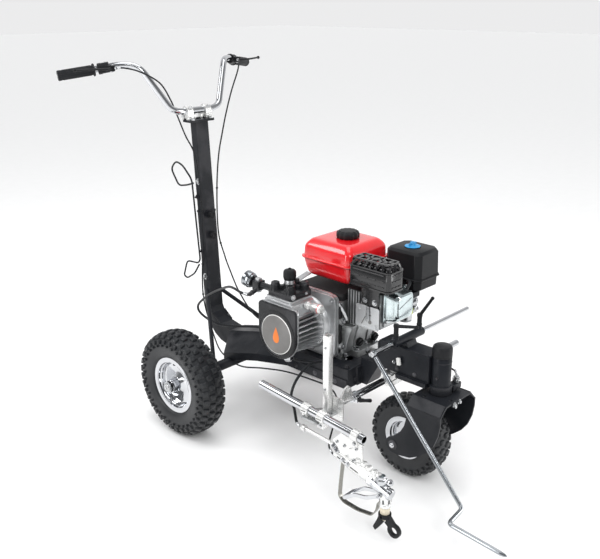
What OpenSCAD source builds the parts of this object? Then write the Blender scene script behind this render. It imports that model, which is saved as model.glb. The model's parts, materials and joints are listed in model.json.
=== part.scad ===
// Walk-behind line striping machine: three-wheeled frame, small engine,
// diaphragm paint pump, spray gun on a side bar and a fold-up pointer.
// X runs across the machine (its right side is -X), forward is -Y, +Z is up.

/* [Frame] */
// Distance between the centres of the rear wheels
track = 614; // [560:2:680]
// Distance from the rear axle to the front wheel's axle
wheelbase = 676; // [650:2:700]
// Height of the tray that the engine stands on
tray_top = 300; // [290:1:304]
// Half width of the tray
tray_half = 94; // [88:1:100]

/* [Rear wheels] */
// Outer radius of a rear tyre
rear_r = 172; // [160:1:178]
// Width of a rear tyre
rear_w = 98; // [90:1:104]
// Radius of the rear axle
axle_r = 12.5; // [10:0.5:13]

/* [Caster] */
// Outer radius of the front tyre
front_r = 123.6; // [118:0.2:126]
// Width of the front tyre
front_w = 86; // [78:1:90]
// How far the swivel axis stands in front of the wheel's axle
trail = 91; // [84:1:96]
// Half distance between the outsides of the fork plates
fork_half = 87; // [84:1:92]

/* [Column and handlebar] */
// Height of the column's top
column_top = 942; // [920:1:960]
// Backward lean of the column, in degrees
column_lean = 3.6; // [2.8:0.1:4.4]
// Radius of the handlebar tube
bar_r = 11; // [10:0.5:12.5]

/* [Engine and pump] */
// Forward distance of the crankshaft from the rear axle
crank_fwd = 320; // [316:1:324]
// Height of the crankshaft
crank_z = 397; // [394:1:400]
// Radius of the round cover on the pump's end
pump_cover_r = 78; // [70:1:80]

/* [Spray gun] */
// Sideways place of the gun
gun_x = -314; // [-318:1:-312]
// Height of the cross bar that carries the gun
gun_bar_z = 280; // [276:1:284]

/* [Pointer] */
// Height of the pointer's cross bar
pointer_bar_z = 424; // [420:1:428]
// Radius of the pointer's rods
pointer_r = 6.5; // [5:0.5:7]

/* [Hidden] */

fine = 64;
medium = 40;
coarse = 24;
gap = 0.05;
// The balls at the bends of a bar are this much larger than the bar
ball = 1.01;

// The frame's own zero is on the floor under the rear axle; the part's zero
// is midway between the pointer's tip and the grips' ends.
pointer_tip_y = -1126;
grip_end_y = 442;
origin_y = -(pointer_tip_y + grip_end_y) / 2;

// Places that several parts share
stem_y = -wheelbase - trail;
stem_r = 27.5;
stem_bottom = 291;
stem_top = 428;
pin_r = 12.5;
arm_half = 31;
arm_top = 400;
arm_bottom = 318;
column_foot = 300;
column_joint = 572;
column_half = 27.5;
column_half_depth = 15;
star_heights = [557, 630];
bolt_heights = [743, 410];
bar_y = 244;
bar_z = 978;
engine_x0 = -44;
pump_x = -199;
tank_x0 = -12;
tank_x1 = 178;
tank_y0 = -440;
tank_y1 = -244;
tank_z0 = 521;
tank_seam = 580;
tank_z1 = 637;
cap_at = [84, -351, 637];
head_at = [-124, -305, 514];
pointer_y = -652;
pointer_x0 = -153;
pointer_x1 = 303;
gun_bar_y = -597;
gun_bar_r = 10;
post_at = [-257, -576, 0];
carrier_r = 12;
carrier_back = [gun_x, -377, 296];
carrier_front = [gun_x, -752, 266];
tip_at = [gun_x, -826, 92];

// A point on the column's centre line at height z
function column_y(z) = 197 + (z - 353) * tan(column_lean);

// ---------- helpers ----------
module place() { translate([0, origin_y, 0]) children(); }

// A box given by two opposite corners
module block(a, b) { translate(a) cube(b - a); }

// A round bar between two points
module rod(a, b, r, fn = medium) {
    v = b - a;
    length = norm(v);
    translate(a) rotate([0, acos(v.z / length), atan2(v.y, v.x)]) cylinder(r = r, h = length, $fn = fn);
}

// A cylinder along X from x0 to x1
module disc_x(x0, x1, r, y = 0, z = 0, fn = fine) {
    translate([x0, y, z]) rotate([0, 90, 0]) cylinder(r = r, h = x1 - x0, $fn = fn);
}

// A cylinder along Y from y0 up to y1
module disc_y(y0, y1, r, x = 0, z = 0, fn = fine) {
    translate([x, y1, z]) rotate([90, 0, 0]) cylinder(r = r, h = y1 - y0, $fn = fn);
}

// An upright cylinder
module disc_z(z0, z1, r, x = 0, y = 0, fn = fine) {
    translate([x, y, z0]) cylinder(r = r, h = z1 - z0, $fn = fn);
}

// An outline in the Y-Z plane, thickened along X
module side_plate(x0, x1) { translate([x0, 0, 0]) rotate([90, 0, 90]) linear_extrude(x1 - x0) children(); }

// An outline in the X-Z plane, thickened along Y
module front_plate(y0, y1) { translate([0, y1, 0]) rotate([90, 0, 0]) linear_extrude(y1 - y0) children(); }

// A rounded rectangle from corner a to corner b
module round_rect(a, b, r) {
    for (x = [a.x + r, b.x - r]) for (y = [a.y + r, b.y - r]) translate([x, y]) circle(r, $fn = coarse);
    translate([a.x + r, a.y]) square([b.x - a.x - 2 * r, b.y - a.y]);
    translate([a.x, a.y + r]) square([b.x - a.x, b.y - a.y - 2 * r]);
}

// Smooth curve through a list of points, with steps pieces to each stretch
function curve_point(a, b, c, d, t) = 0.5 * (2 * b + (c - a) * t + (2 * a - 5 * b + 4 * c - d) * t * t
    + (3 * b - a - 3 * c + d) * t * t * t);
function smooth_path(p, steps) = concat(
    [for (i = [0 : len(p) - 2]) for (k = [0 : steps - 1])
        curve_point(p[max(i - 1, 0)], p[i], p[i + 1], p[min(i + 2, len(p) - 1)], k / steps)],
    [p[len(p) - 1]]);
function unit(v) = v / norm(v);
function heading(p, i) = unit(p[min(i + 1, len(p) - 1)] - p[max(i - 1, 0)]);
// Side vectors carried along the path without twist
function side_vectors(p, i, n) = i >= len(p) ? [] :
    let (t = heading(p, i), m = unit(n - (n * t) * t)) concat([m], side_vectors(p, i + 1, m));

// A round cord swept along a smooth path
module cord(points, r, steps, sides) {
    p = smooth_path(points, steps);
    n = side_vectors(p, 0, [0.31, 0.87, 0.38]);
    rings = [for (i = [0 : len(p) - 1]) let (b = cross(heading(p, i), n[i]))
        for (k = [0 : sides - 1]) p[i] + r * (cos(360 * k / sides) * n[i] + sin(360 * k / sides) * b)];
    walls = [for (i = [0 : len(p) - 2]) for (k = [0 : sides - 1])
        [i * sides + k, i * sides + (k + 1) % sides, (i + 1) * sides + (k + 1) % sides, (i + 1) * sides + k]];
    last = (len(p) - 1) * sides;
    ends = [[for (k = [sides - 1 : -1 : 0]) k], [for (k = [0 : sides - 1]) last + k]];
    polyhedron(points = rings, faces = [for (f = concat(walls, ends)) [for (k = [len(f) - 1 : -1 : 0]) f[k]]]);
}

// A bent round bar: straight stretches with a ball at each bend
module bent_bar(p, r) {
    for (i = [0 : len(p) - 2]) rod(p[i], p[i + 1], r);
    for (i = [1 : len(p) - 2]) translate(p[i]) sphere(r * ball, $fn = medium);
}

// ---------- frame ----------
// Half section of the rear beam: ridge, shoulder and skirt
ridge_half = 35;
shoulder_half = 110;
module rear_beam() {
    stations = [
        [75, 22, 244, 201, 178, shoulder_half],
        [-140, -140, tray_top, 248, 222, shoulder_half],
        [-262, -262, tray_top, 262, 240, tray_half]
    ];
    points = [for (s = stations) each [
        [-ridge_half, s[0], s[2]], [ridge_half, s[0], s[2]], [s[5], s[1], s[3]],
        [s[5], s[1], s[4]], [-s[5], s[1], s[4]], [-s[5], s[1], s[3]]]];
    sides = [for (i = [0, 1]) for (k = [0 : 5]) each [
        [i * 6 + k, i * 6 + (k + 1) % 6, (i + 1) * 6 + (k + 1) % 6],
        [i * 6 + k, (i + 1) * 6 + (k + 1) % 6, (i + 1) * 6 + k]]];
    caps = [[5, 4, 3], [5, 3, 2], [5, 2, 1], [5, 1, 0], [12, 13, 14], [12, 14, 17], [17, 14, 15], [17, 15, 16]];
    polyhedron(points = points, faces = concat(sides, caps));
}

module main_frame() place() color([0.09, 0.09, 0.1]) {
    difference() {
        union() {
            rear_beam();
            block([-tray_half, -505, 240], [tray_half, -261, 268]);
            block([-tray_half + 10, -505, 267], [tray_half - 10, -261, tray_top]);
            disc_x(-262, 262, 17, 0, rear_r);
            // the bend that joins the column's foot to the beam
            side_plate(-column_half, column_half) polygon([
                [column_y(column_foot) - column_half_depth, column_foot],
                [column_y(column_foot) + column_half_depth, column_foot],
                [200, 262], [184, 232], [160, 207], [130, 190], [96, 182], [40, 180],
                [30, 225], [60, 240], [96, 246], [128, 252], [152, 265], [169, 282]
            ]);
            // webs between the beam and the axle tube
            for (side = [-1, 1]) translate([side * 80, 0, 0])
                block([-4, -12, rear_r], [4, 16, 200]);
        }
        disc_x(-263, 263, axle_r, 0, rear_r);
    }
}

module caster_arm() place() color([0.1, 0.1, 0.11]) {
    difference() {
        union() {
            // box arm with a gusset down to the tray's front
            side_plate(-arm_half, arm_half) polygon([
                [-505, 242], [-530, 242], [-572, arm_bottom], [stem_y + 20, arm_bottom],
                [stem_y + 20, arm_top], [-571, arm_top], [-571, 324], [-505, 324]]);
            block([-52, -513, 242], [52, -505, tray_top]);
            disc_z(stem_bottom + 20, arm_top, stem_r, 0, stem_y);
            disc_z(stem_bottom, stem_bottom + 26, stem_r + 4, 0, stem_y);
            // plate under the arm, and the ear that the lock pin slides in
            block([-40, stem_y + 24, 306], [40, -640, arm_bottom + 1]);
            block([20, lock_at.y - 11, 295], [lock_at.x + 11, lock_at.y + 11, 312]);
        }
        disc_z(stem_bottom - 1, stem_top, pin_r + gap, 0, stem_y);
        disc_z(294, 313, 5 + gap, lock_at.x, lock_at.y, coarse);
    }
}

module stem_cap() place() color([0.12, 0.12, 0.13])
    difference() {
        union() {
            disc_z(arm_top, stem_top, stem_r + 0.6, 0, stem_y);
            disc_z(stem_top, stem_top + 5, stem_r - 2.5, 0, stem_y);
        }
        disc_z(arm_top - 1, stem_top - 10, pin_r + 3, 0, stem_y);
    }

module rear_axle() place() color("silver") {
    disc_x(-track / 2 - 58, track / 2 + 58, axle_r, 0, rear_r);
    for (side = [-1, 1]) {
        // hexagon nut and washer that hold each wheel on
        translate([side * (track / 2 + 52), 0, rear_r]) rotate([0, 90, 0]) {
            translate([0, 0, -1]) cylinder(r = 18, h = 2.4, center = true, $fn = medium);
            translate([0, 0, side * 7 - 4]) cylinder(r = 16, h = 8, $fn = 6);
        }
    }
}

module column_lower() place() color([0.1, 0.1, 0.11])
    difference() {
        union() {
            column_box(column_foot, column_joint + 70, column_half, column_half_depth);
            for (side = [-1, 1]) rod(
                [side * 24, column_y(360) + 4, 360], [side * 168, 6, rear_r + 14], 7, coarse);
        }
        column_box(column_foot + 40, column_joint + 71, column_half - 3, column_half_depth - 3);
        disc_x(-263, 263, 17, 0, rear_r);
    }

// A leaning rectangular bar between two heights
module column_box(z0, z1, half, depth) {
    side_plate(-half, half) polygon([
        [column_y(z0) - depth, z0], [column_y(z0) + depth, z0],
        [column_y(z1) + depth, z1], [column_y(z1) - depth, z1]]);
}

module column_upper() place() color([0.1, 0.1, 0.11]) {
    column_box(column_joint - 60, column_joint + 70, column_half - 3, column_half_depth - 3);
    column_box(column_joint + 70, column_top, column_half - 1, column_half_depth - 1);
}

// A five-lobed hand knob on the column's front face
module star_knob(z) {
    face = column_y(z) - column_half_depth - 0.4;
    disc_y(face - 10, face, 5, 0, z, coarse);
    for (k = [0 : 4]) disc_y(face - 22, face - 9, 6.5, 9 * cos(72 * k), z + 9 * sin(72 * k), coarse);
    disc_y(face - 24, face - 8, 9, 0, z, coarse);
}

module column_bolts() place() color([0.07, 0.07, 0.07]) {
    for (z = star_heights) star_knob(z);
    for (z = bolt_heights) for (side = [-1, 1])
        translate([side * (column_half - (z > column_joint ? 1 : 0)), column_y(z), z])
            rotate([0, side * 90, 0]) cylinder(r = 8, h = 6, $fn = 6);
}

module handlebar_clamp() place() color([0.5, 0.5, 0.52]) {
    difference() {
        union() {
            block([-52, bar_y - 30, column_top], [52, bar_y + 14, column_top + 8]);
            for (side = [-1, 1]) block([side * 38 - 13, bar_y - 17, column_top + 7],
                [side * 38 + 13, bar_y + 17, bar_z + 17]);
        }
        disc_x(-60, 60, bar_r, bar_y, bar_z);
    }
    for (side = [-1, 1]) for (dy = [-1, 1])
        translate([side * 38, bar_y + dy * 14, bar_z + 17]) cylinder(r = 4.5, h = 5, $fn = 6);
}

// One half of the handlebar's centre line, from the middle outwards
grip_in = [292, 384, 1117];
grip_out = [393, grip_end_y - 15.7, 1103];
function bar_half(side) = [[0, bar_y, bar_z], [side * 70, bar_y, bar_z], [side * 102, bar_y + 6, bar_z + 10],
    [side * 170, bar_y + 54, 1112], [side * 190, bar_y + 72, 1128], [side * 232, bar_y + 98, 1130],
    [side * grip_in.x, grip_in.y, grip_in.z], [side * (grip_out.x - 4), grip_out.y - 2, grip_out.z]];

module handlebar() place() color("silver")
    for (side = [-1, 1]) bent_bar(bar_half(side), bar_r);

module grips() place() color([0.05, 0.05, 0.05])
    for (side = [-1, 1]) {
        a = [side * (grip_in.x - 2), grip_in.y - 1, grip_in.z];
        b = [side * (grip_out.x + 2), grip_out.y + 1, grip_out.z];
        difference() {
            union() {
                rod(a, b, 16);
                rod(a, a + 0.05 * (b - a), 20);
            }
            rod([side * 232, bar_y + 98, 1130], [side * grip_in.x, grip_in.y, grip_in.z], bar_r);
            rod([side * grip_in.x, grip_in.y, grip_in.z], [side * (grip_out.x - 4), grip_out.y - 2, grip_out.z], bar_r);
            translate([side * grip_in.x, grip_in.y, grip_in.z]) sphere(bar_r * ball, $fn = medium);
        }
    }

// Hand lever perches: a split ring on the bar and a fork that holds the lever
function perch(side) = [side * 262, 363, 1123];
module lever_brackets() place() color([0.08, 0.08, 0.08])
    for (side = [-1, 1]) difference() {
        union() {
            rod(perch(side) - [side * 12, 4.2, -2.6], perch(side) + [side * 12, 4.2, -2.6], 16.5);
            translate(perch(side)) block([-9, -46, -9], [9, -12, 9]);
        }
        rod([side * 232, bar_y + 98, 1130], [side * grip_in.x, grip_in.y, grip_in.z], bar_r);
        translate(perch(side)) block([-11, -47, -3.1], [11, -18, 3.1]);
        translate(perch(side) + [0, -36, -20]) cylinder(r = 3, h = 40, $fn = coarse);
    }

// A hand lever: flat blade with a pivot pin, swinging in a level plane
module hand_lever(side) {
    p = perch(side) + [0, -36, 0];
    translate(p) difference() {
        translate([0, 0, -3]) linear_extrude(6) {
            circle(8, $fn = coarse);
            polygon([[side * 2, 6], [side * 34, -11.5], [side * 118, 22], [side * 122, 13], [side * 34, -20.5],
                [side * -2, -7]]);
            translate([side * 120, 18]) circle(6, $fn = coarse);
        }
        translate([0, 0, -10]) cylinder(r = 3, h = 20, $fn = coarse);
    }
    translate(p) cylinder(r = 2.95, h = 20, center = true, $fn = coarse);
}
module gun_lever() place() color([0.1, 0.1, 0.1]) hand_lever(-1);
module lock_lever() place() color([0.1, 0.1, 0.1]) hand_lever(1);

// Wire hanger with an upper and a lower loop, behind the column's right side
module hose_hanger() place() color([0.08, 0.08, 0.08]) {
    wire = 3;
    x = -38;
    bent_bar([
        [x, 232, 738], [x, 268, 726], [x, 312, 718], [x, 350, 772], [x, 322, 802], [x, 286, 792],
        [x, 240, 750], [x, 214, 470], [x, 226, 456], [x, 286, 452], [x, 308, 392], [x, 290, 386],
        [x, 248, 412], [x, 220, 452]], wire);
    for (z = [500, 690]) rod([x, column_y(z) + 8, z], [-column_half, column_y(z) + 8, z], 3.4);
}

// ---------- engine ----------
// A box with its four upright edges rounded
module pillow(a, b, r) {
    translate([0, 0, a.z]) linear_extrude(b.z - a.z) round_rect([a.x, a.y], [b.x, b.y], r);
}

crankcase_x1 = 118;
module engine_block() place() color([0.55, 0.56, 0.57]) {
    difference() {
        union() {
            pillow([engine_x0, -432, tray_top + 10], [crankcase_x1, -236, 478], 16);
            // base flange and the foot rails that stand on the tray
            block([engine_x0, -440, tray_top], [crankcase_x1, -226, tray_top + 11]);
            block([0, -468, tray_top], [111, -439, tray_top + 19]);
            // cylinder with its cooling fins
            block([-2, -526, 418], [98, -431, 516]);
            for (k = [0 : 8]) block([-16, -523 + k * 10, 410], [110, -519.5 + k * 10, 520]);
        }
        disc_x(engine_x0 + 16, crankcase_x1 - 14, 54, -crank_fwd, crank_z);
        disc_x(engine_x0 - 1, crankcase_x1 + 1, 10 + gap, -crank_fwd, crank_z);
    }
}

module cylinder_head() place() color([0.6, 0.61, 0.62]) {
    block([2, -562, 426], [94, -526, 524]);
    for (k = [0 : 2]) block([-12, -558 + k * 11, 420], [106, -554.5 + k * 11, 526]);
}

module rocker_cover() place() color([0.7, 0.71, 0.72])
    difference() {
        union() {
            front_plate(-602, -562) round_rect([0, 440], [98, 532], 14);
            front_plate(-568, -562) round_rect([-5, 435], [103, 537], 14);
        }
        front_plate(-598, -561) round_rect([4, 444], [94, 528], 11);
    }

tank_wall = 3;
module tank_skin(inset) {
    pillow([tank_x0 + inset, tank_y0 + inset, tank_z0 + inset],
        [tank_x1 - inset, tank_y1 - inset, tank_z1 - 9 - inset], 26 - inset);
    pillow([tank_x0 + inset + 8, tank_y0 + inset + 8, tank_z1 - 10 - inset],
        [tank_x1 - inset - 8, tank_y1 - inset - 8, tank_z1 - inset], 20 - inset);
}
module fuel_tank() place() color([0.85, 0.08, 0.09])
    difference() {
        union() {
            tank_skin(0);
            pillow([tank_x0 - 5, tank_y0 - 5, tank_seam - 2.5], [tank_x1 + 5, tank_y1 + 5, tank_seam + 2.5], 30);
        }
        tank_skin(tank_wall);
        disc_z(tank_z1 - 20, tank_z1 + 1, 24, cap_at.x, cap_at.y);
    }

module fuel_cap() place() color([0.06, 0.06, 0.06]) {
    disc_z(tank_z1 + 0.3, tank_z1 + 20, 36, cap_at.x, cap_at.y);
    disc_z(tank_z1 + 20, tank_z1 + 24, 31, cap_at.x, cap_at.y);
    disc_z(tank_z1 - 8, tank_z1 + 1, 24 - gap, cap_at.x, cap_at.y);
}

muffler_a = [-30, -600, 541];
muffler_b = [44, -447, 626];
module muffler() place() color([0.08, 0.08, 0.08]) {
    difference() {
        pillow(muffler_a, muffler_b, 12);
        // vent slots along the near side and the front
        for (k = [0 : 4]) block([muffler_a.x - 1, muffler_a.y + 16, muffler_a.z + 10 + 14 * k],
            [muffler_a.x + 6, muffler_b.y - 16, muffler_a.z + 15 + 14 * k]);
        for (k = [0 : 4]) block([muffler_a.x + 16, muffler_a.y - 1, muffler_a.z + 10 + 14 * k],
            [muffler_b.x - 16, muffler_a.y + 6, muffler_a.z + 15 + 14 * k]);
    }
    // outlet pipe from the head, and the bracket down the cylinder's side
    disc_z(526.2, muffler_a.z + 1, 14, 20, -544, medium);
    block([-24, -556, 494], [-16.2, -498, muffler_a.z + 6]);
}

cleaner_a = [138, -580, 502];
cleaner_b = [244, -456, 620];
cleaner_rim = 536;
cleaner_knob = [190, -517];
module air_cleaner() place() color([0.08, 0.08, 0.08])
    difference() {
        union() {
            pillow(cleaner_a, [cleaner_b.x, cleaner_b.y, cleaner_rim - 3], 12);
            pillow([cleaner_a.x - 3, cleaner_a.y - 3, cleaner_rim - 4],
                [cleaner_b.x + 3, cleaner_b.y + 3, cleaner_rim + 3], 14);
            pillow([cleaner_a.x, cleaner_a.y, cleaner_rim + 2], cleaner_b, 16);
        }
        disc_z(cleaner_b.z - 20, cleaner_b.z + 1, 4, cleaner_knob.x, cleaner_knob.y, coarse);
    }

module air_cleaner_knob() place() color([0.1, 0.25, 0.75]) {
    disc_z(cleaner_b.z + 0.3, cleaner_b.z + 9, 14, cleaner_knob.x, cleaner_knob.y, medium);
    block([cleaner_knob.x - 11, cleaner_knob.y - 3, cleaner_b.z + 8],
        [cleaner_knob.x + 11, cleaner_knob.y + 3, cleaner_b.z + 16]);
    disc_z(cleaner_b.z - 18, cleaner_b.z + 1, 4 - gap, cleaner_knob.x, cleaner_knob.y, coarse);
}

lever_pivot = [-22, -520, 446];
module carburettor() place() color([0.62, 0.63, 0.62]) {
    // body, float bowl, inlet elbow up to the air cleaner
    block([110.2, -566, 432], [158, -516, 484]);
    disc_z(404, 433, 20, 134, -541);
    disc_z(483, 501.9, 22, 160, -541);
    disc_x(157, 180, 12, -541, 458, medium);
    // control plate on the cylinder's near side
    difference() {
        side_plate(-19, -16) round_rect([-557, 420], [-477, 482], 6);
        disc_x(-20, -15, 3 + gap, lever_pivot.y, lever_pivot.z, coarse);
    }
}

module throttle_lever() place() color([0.75, 0.76, 0.77]) {
    disc_x(-24, -19.2, 8, lever_pivot.y, lever_pivot.z, medium);
    side_plate(-24, -21) polygon([[lever_pivot.y - 6, lever_pivot.z], [lever_pivot.y + 6, lever_pivot.z],
        [lever_pivot.y + 5, lever_pivot.z + 42], [lever_pivot.y - 5, lever_pivot.z + 42]]);
    disc_x(-24, -16.4, 3, lever_pivot.y, lever_pivot.z, coarse);
}

recoil_x1 = 192;
module recoil_cover() place() color([0.8, 0.1, 0.1]) {
    difference() {
        union() {
            disc_x(crankcase_x1 + 0.2, recoil_x1 - 14, 94, -crank_fwd, crank_z);
            disc_x(recoil_x1 - 15, recoil_x1, 74, -crank_fwd, crank_z);
            side_plate(crankcase_x1 + 0.2, crankcase_x1 + 16) round_rect([-498, 396], [-320, 512], 14);
        }
        disc_x(crankcase_x1 + 4, recoil_x1 - 18, 88, -crank_fwd, crank_z);
        disc_x(crankcase_x1 - 1, crankcase_x1 + 5, 40, -crank_fwd, crank_z);
        for (k = [0 : 11]) rotate_about_crank(30 * k)
            block([recoil_x1 - 20, 30, -4], [recoil_x1 + 1, 62, 4]);
    }
    // starter handle on its rope guide
    rod([160, -405, 440], [166, -424, 452], 7, coarse);
    rod([150, -432, 457], [182, -420, 451], 8, coarse);
}
module rotate_about_crank(turn) { translate([0, -crank_fwd, crank_z]) rotate([turn, 0, 0]) children(); }

module crankshaft() place() color([0.5, 0.5, 0.52]) {
    // main shaft in two lengths, with two webs and the crank pin between them
    disc_x(-168, 20, 10, -crank_fwd, crank_z, medium);
    disc_x(58, crankcase_x1 + 30, 10, -crank_fwd, crank_z, medium);
    for (x = [14, 52]) disc_x(x, x + 12, 36, -crank_fwd, crank_z);
    disc_x(25, 53, 12, -crank_fwd, crank_z + 20, medium);
    // eccentric that drives the pump's diaphragm
    disc_x(-150, -110, 24, -crank_fwd, crank_z + 6, medium);
    // flywheel with its fan blades
    disc_x(crankcase_x1 + 8, crankcase_x1 + 22, 80, -crank_fwd, crank_z);
    for (k = [0 : 11]) rotate_about_crank(30 * k + 15)
        block([crankcase_x1 + 21, 48, -2], [crankcase_x1 + 46, 78, 2]);
}

// ---------- pump ----------
pump_y = -crank_fwd - 3;
flange_half = 101;
module pump_body() place() color([0.7, 0.71, 0.72]) {
    difference() {
        union() {
            side_plate(-60, engine_x0 - 0.1) round_rect([pump_y - 107, tray_top + 2], [pump_y + flange_half, 502], 18);
            disc_x(-84, -59, 84, pump_y, crank_z + 4);
            disc_x(pump_x + 8, -83, 62, pump_y, crank_z);
            // cooling fins along the body
            for (k = [0 : 17]) translate([0, pump_y, crank_z]) rotate([20 * k, 0, 0])
                block([pump_x + 14, -3, 56], [-76, 3, 74]);
            // deck that carries the head
            block([-176, -366, crank_z + 50], [-84, -250, 496.9]);
        }
        disc_x(pump_x + 16, engine_x0 + 1, 40, -crank_fwd, crank_z);
        disc_y(-367, -338, 6, -120, 479, coarse);
        disc_z(crank_z - 80, crank_z - 30, 9, -150, pump_y, medium);
        disc_z(crank_z - 80, crank_z - 61.9, 14.1, -150, pump_y, medium);
    }
}

module pump_face_plate() place() color([0.1, 0.1, 0.11]) {
    side_plate(pump_x, pump_x + 8) {
        translate([pump_y, crank_z]) circle(pump_cover_r, $fn = fine);
        round_rect([pump_y - pump_cover_r, crank_z], [pump_y + pump_cover_r, 485], 8);
    }
    disc_x(pump_x - 4, pump_x + 1, 62, pump_y, crank_z);
}

outlet_end = [-176, -182, 478];
module pump_head() place() color([0.07, 0.07, 0.08]) {
    difference() {
        union() {
            pillow([head_at.x - 46, head_at.y - 48, 497], [head_at.x + 46, head_at.y + 48, 522], 6);
            pillow([head_at.x - 40, head_at.y - 42, 521], [head_at.x + 40, head_at.y + 42, 532], 8);
            // outlet arm to the gauge and the hose
            disc_y(-258, -207, 10, -146, 508, coarse);
            pillow([-162, -208, 492], [-130, -180, 520], 5);
        }
        disc_z(512, 533, 6, head_at.x, head_at.y, coarse);
    }
    // elbow that turns the outlet down and back to the hose
    rod([-154, -204, 500], outlet_end, 7, coarse);
}

module pump_head_caps() place() color([0.12, 0.12, 0.12]) {
    for (x = [-29, 29]) for (y = [-31, 31]) disc_z(532, 542, 10, head_at.x + x, head_at.y + y, coarse);
    disc_z(532, 540, 8, head_at.x + 30, head_at.y, coarse);
    difference() {
        disc_z(532, 544, 14, head_at.x, head_at.y, medium);
        disc_z(531, 545, 6, head_at.x, head_at.y, coarse);
    }
}

module pressure_knob() place() color([0.06, 0.06, 0.06]) {
    disc_z(544.3, 577, 17.5, head_at.x, head_at.y, medium);
    disc_z(577, 580, 15.5, head_at.x, head_at.y, medium);
    disc_z(514, 545, 6 - gap, head_at.x, head_at.y, coarse);
}

module pressure_gauge() place() color([0.8, 0.8, 0.82]) {
    disc_y(-179.9, -166, 8, -146, 510, coarse);
    rod([-148, -172, 512], [-152, -144, 520], 25, fine);
}

module suction_fitting() place() color([0.75, 0.75, 0.77])
    difference() {
        union() {
            disc_z(296, crank_z - 62, 14, -150, pump_y, medium);
            translate([-150, pump_y, 302]) cylinder(r = 18, h = 12, $fn = 6);
        }
        disc_z(295, crank_z - 60, 9, -150, pump_y, medium);
    }

module prime_valve() place() color([0.78, 0.78, 0.8]) {
    disc_y(-432, -366.3, 13.5, -120, 479, medium);
    disc_y(-367, -340, 6 - gap, -120, 479, coarse);
}

// ---------- hose and cables ----------
hose_route = [
    outlet_end, [-186, -150, 460], [-166, -80, 454], [-115, 0, 440], [-88, 90, 395], [-70, 165, 352],
    [-62, 212, 310], [-60, 208, 282], [-58, 165, 268], [-54, 110, 262], [-46, 45, 272], [-42, -20, 288],
    [-42, -80, 303], [-56, -140, 311], [-80, -190, 300], [-104, -240, 288], [-112, -320, 284],
    [-108, -400, 300], [-130, -445, 326], [-190, -445, 334], [-250, -452, 310], [-288, -468, 280],
    [-297, -488, 254], [-304, -500, 236], [-312, -514, 223], [-314, -532.8, 219]
];
gun_cable_route = [
    [-252, 318, 1123], [-240, 290, 1124], [-200, 266, 1111], [-134, 260, 1074], [-90, 268, 1020],
    [-66, 266, 965], [-56, 240, 900], [-42, 214, 840], [-35, 204, 750], [-34, 200, 640], [-35, 200, 520],
    [-39, 204, 430], [-39, 206, 360], [-39, 196, 300], [-44, 160, 230], [-52, 110, 165], [-58, 40, 146], [-62, -20, 146],
    [-70, -120, 176], [-78, -240, 206], [-88, -360, 222], [-104, -450, 232], [-150, -520, 228],
    [-220, -568, 204], [-290, -612, 184], [-314, -654, 178]
];
lock_cable_route = [
    [252, 318, 1123], [238, 292, 1122], [205, 264, 1090], [150, 236, 1031], [100, 208, 970],
    [66, 192, 910], [46, 196, 820], [37, 200, 700], [34, 196, 560], [24, 158, 490], [8, 112, 445],
    [2, 55, 373], [8, -20, 306], [34, -90, 302], [72, -150, 284], [99, -215, 264], [100, -300, 254],
    [100, -400, 252], [102, -490, 260], [88, -545, 286], [66, -600, 322], [52, -680, 345],
    [48, -740, 350], [48, -778, 344], [48, -786, 334]
];
module paint_hose() place() color([0.08, 0.08, 0.08]) cord(hose_route, 4, 3, 8);
module gun_cable() place() color([0.06, 0.06, 0.06]) cord(gun_cable_route, 2.5, 3, 8);
module lock_cable() place() color([0.06, 0.06, 0.06]) cord(lock_cable_route, 2.5, 3, 8);

// ---------- pointer ----------
module pointer_bracket() place() color([0.09, 0.09, 0.09])
    difference() {
        union() {
            disc_x(-73, 63, 13, pointer_y, pointer_bar_z);
            block([-22, pointer_y - 14, arm_top], [22, pointer_y + 14, pointer_bar_z - 6]);
            for (x = clamp_lever_x) disc_z(pointer_bar_z + 10, pointer_bar_z + 19, 8, x, pointer_y, medium);
        }
        disc_x(-74, 64, pointer_r + gap, pointer_y, pointer_bar_z);
        for (x = clamp_lever_x) disc_z(pointer_bar_z + 8, pointer_bar_z + 20, 4 + gap, x, pointer_y, medium);
    }
clamp_lever_x = [-60, 50];

// Screw with a slanted handle that clamps the bar in its sleeve
module clamp_lever(x, tip) {
    top = pointer_bar_z + 50;
    disc_z(pointer_bar_z + 8.2, pointer_bar_z + 22, 4, x, pointer_y, medium);
    disc_z(pointer_bar_z + 19.3, top, 6.5, x, pointer_y, medium);
    translate([x, pointer_y, top]) sphere(7, $fn = medium);
    rod([x, pointer_y, top], [x, pointer_y, top] + tip, 4.5);
    translate([x, pointer_y, top] + tip) sphere(5.5, $fn = medium);
}
module clamp_lever_near() place() color([0.06, 0.06, 0.06]) clamp_lever(clamp_lever_x[0], [0, -68, 16]);
module clamp_lever_far() place() color([0.06, 0.06, 0.06]) clamp_lever(clamp_lever_x[1], [0, -40, 62]);

module pointer_bar() place() color([0.8, 0.81, 0.83]) {
    disc_x(pointer_x0 - 12, pointer_x1, pointer_r, pointer_y, pointer_bar_z);
    disc_x(pointer_x0 - 16, pointer_x0 - 11.7, pointer_r + 2, pointer_y, pointer_bar_z);
}

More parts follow.
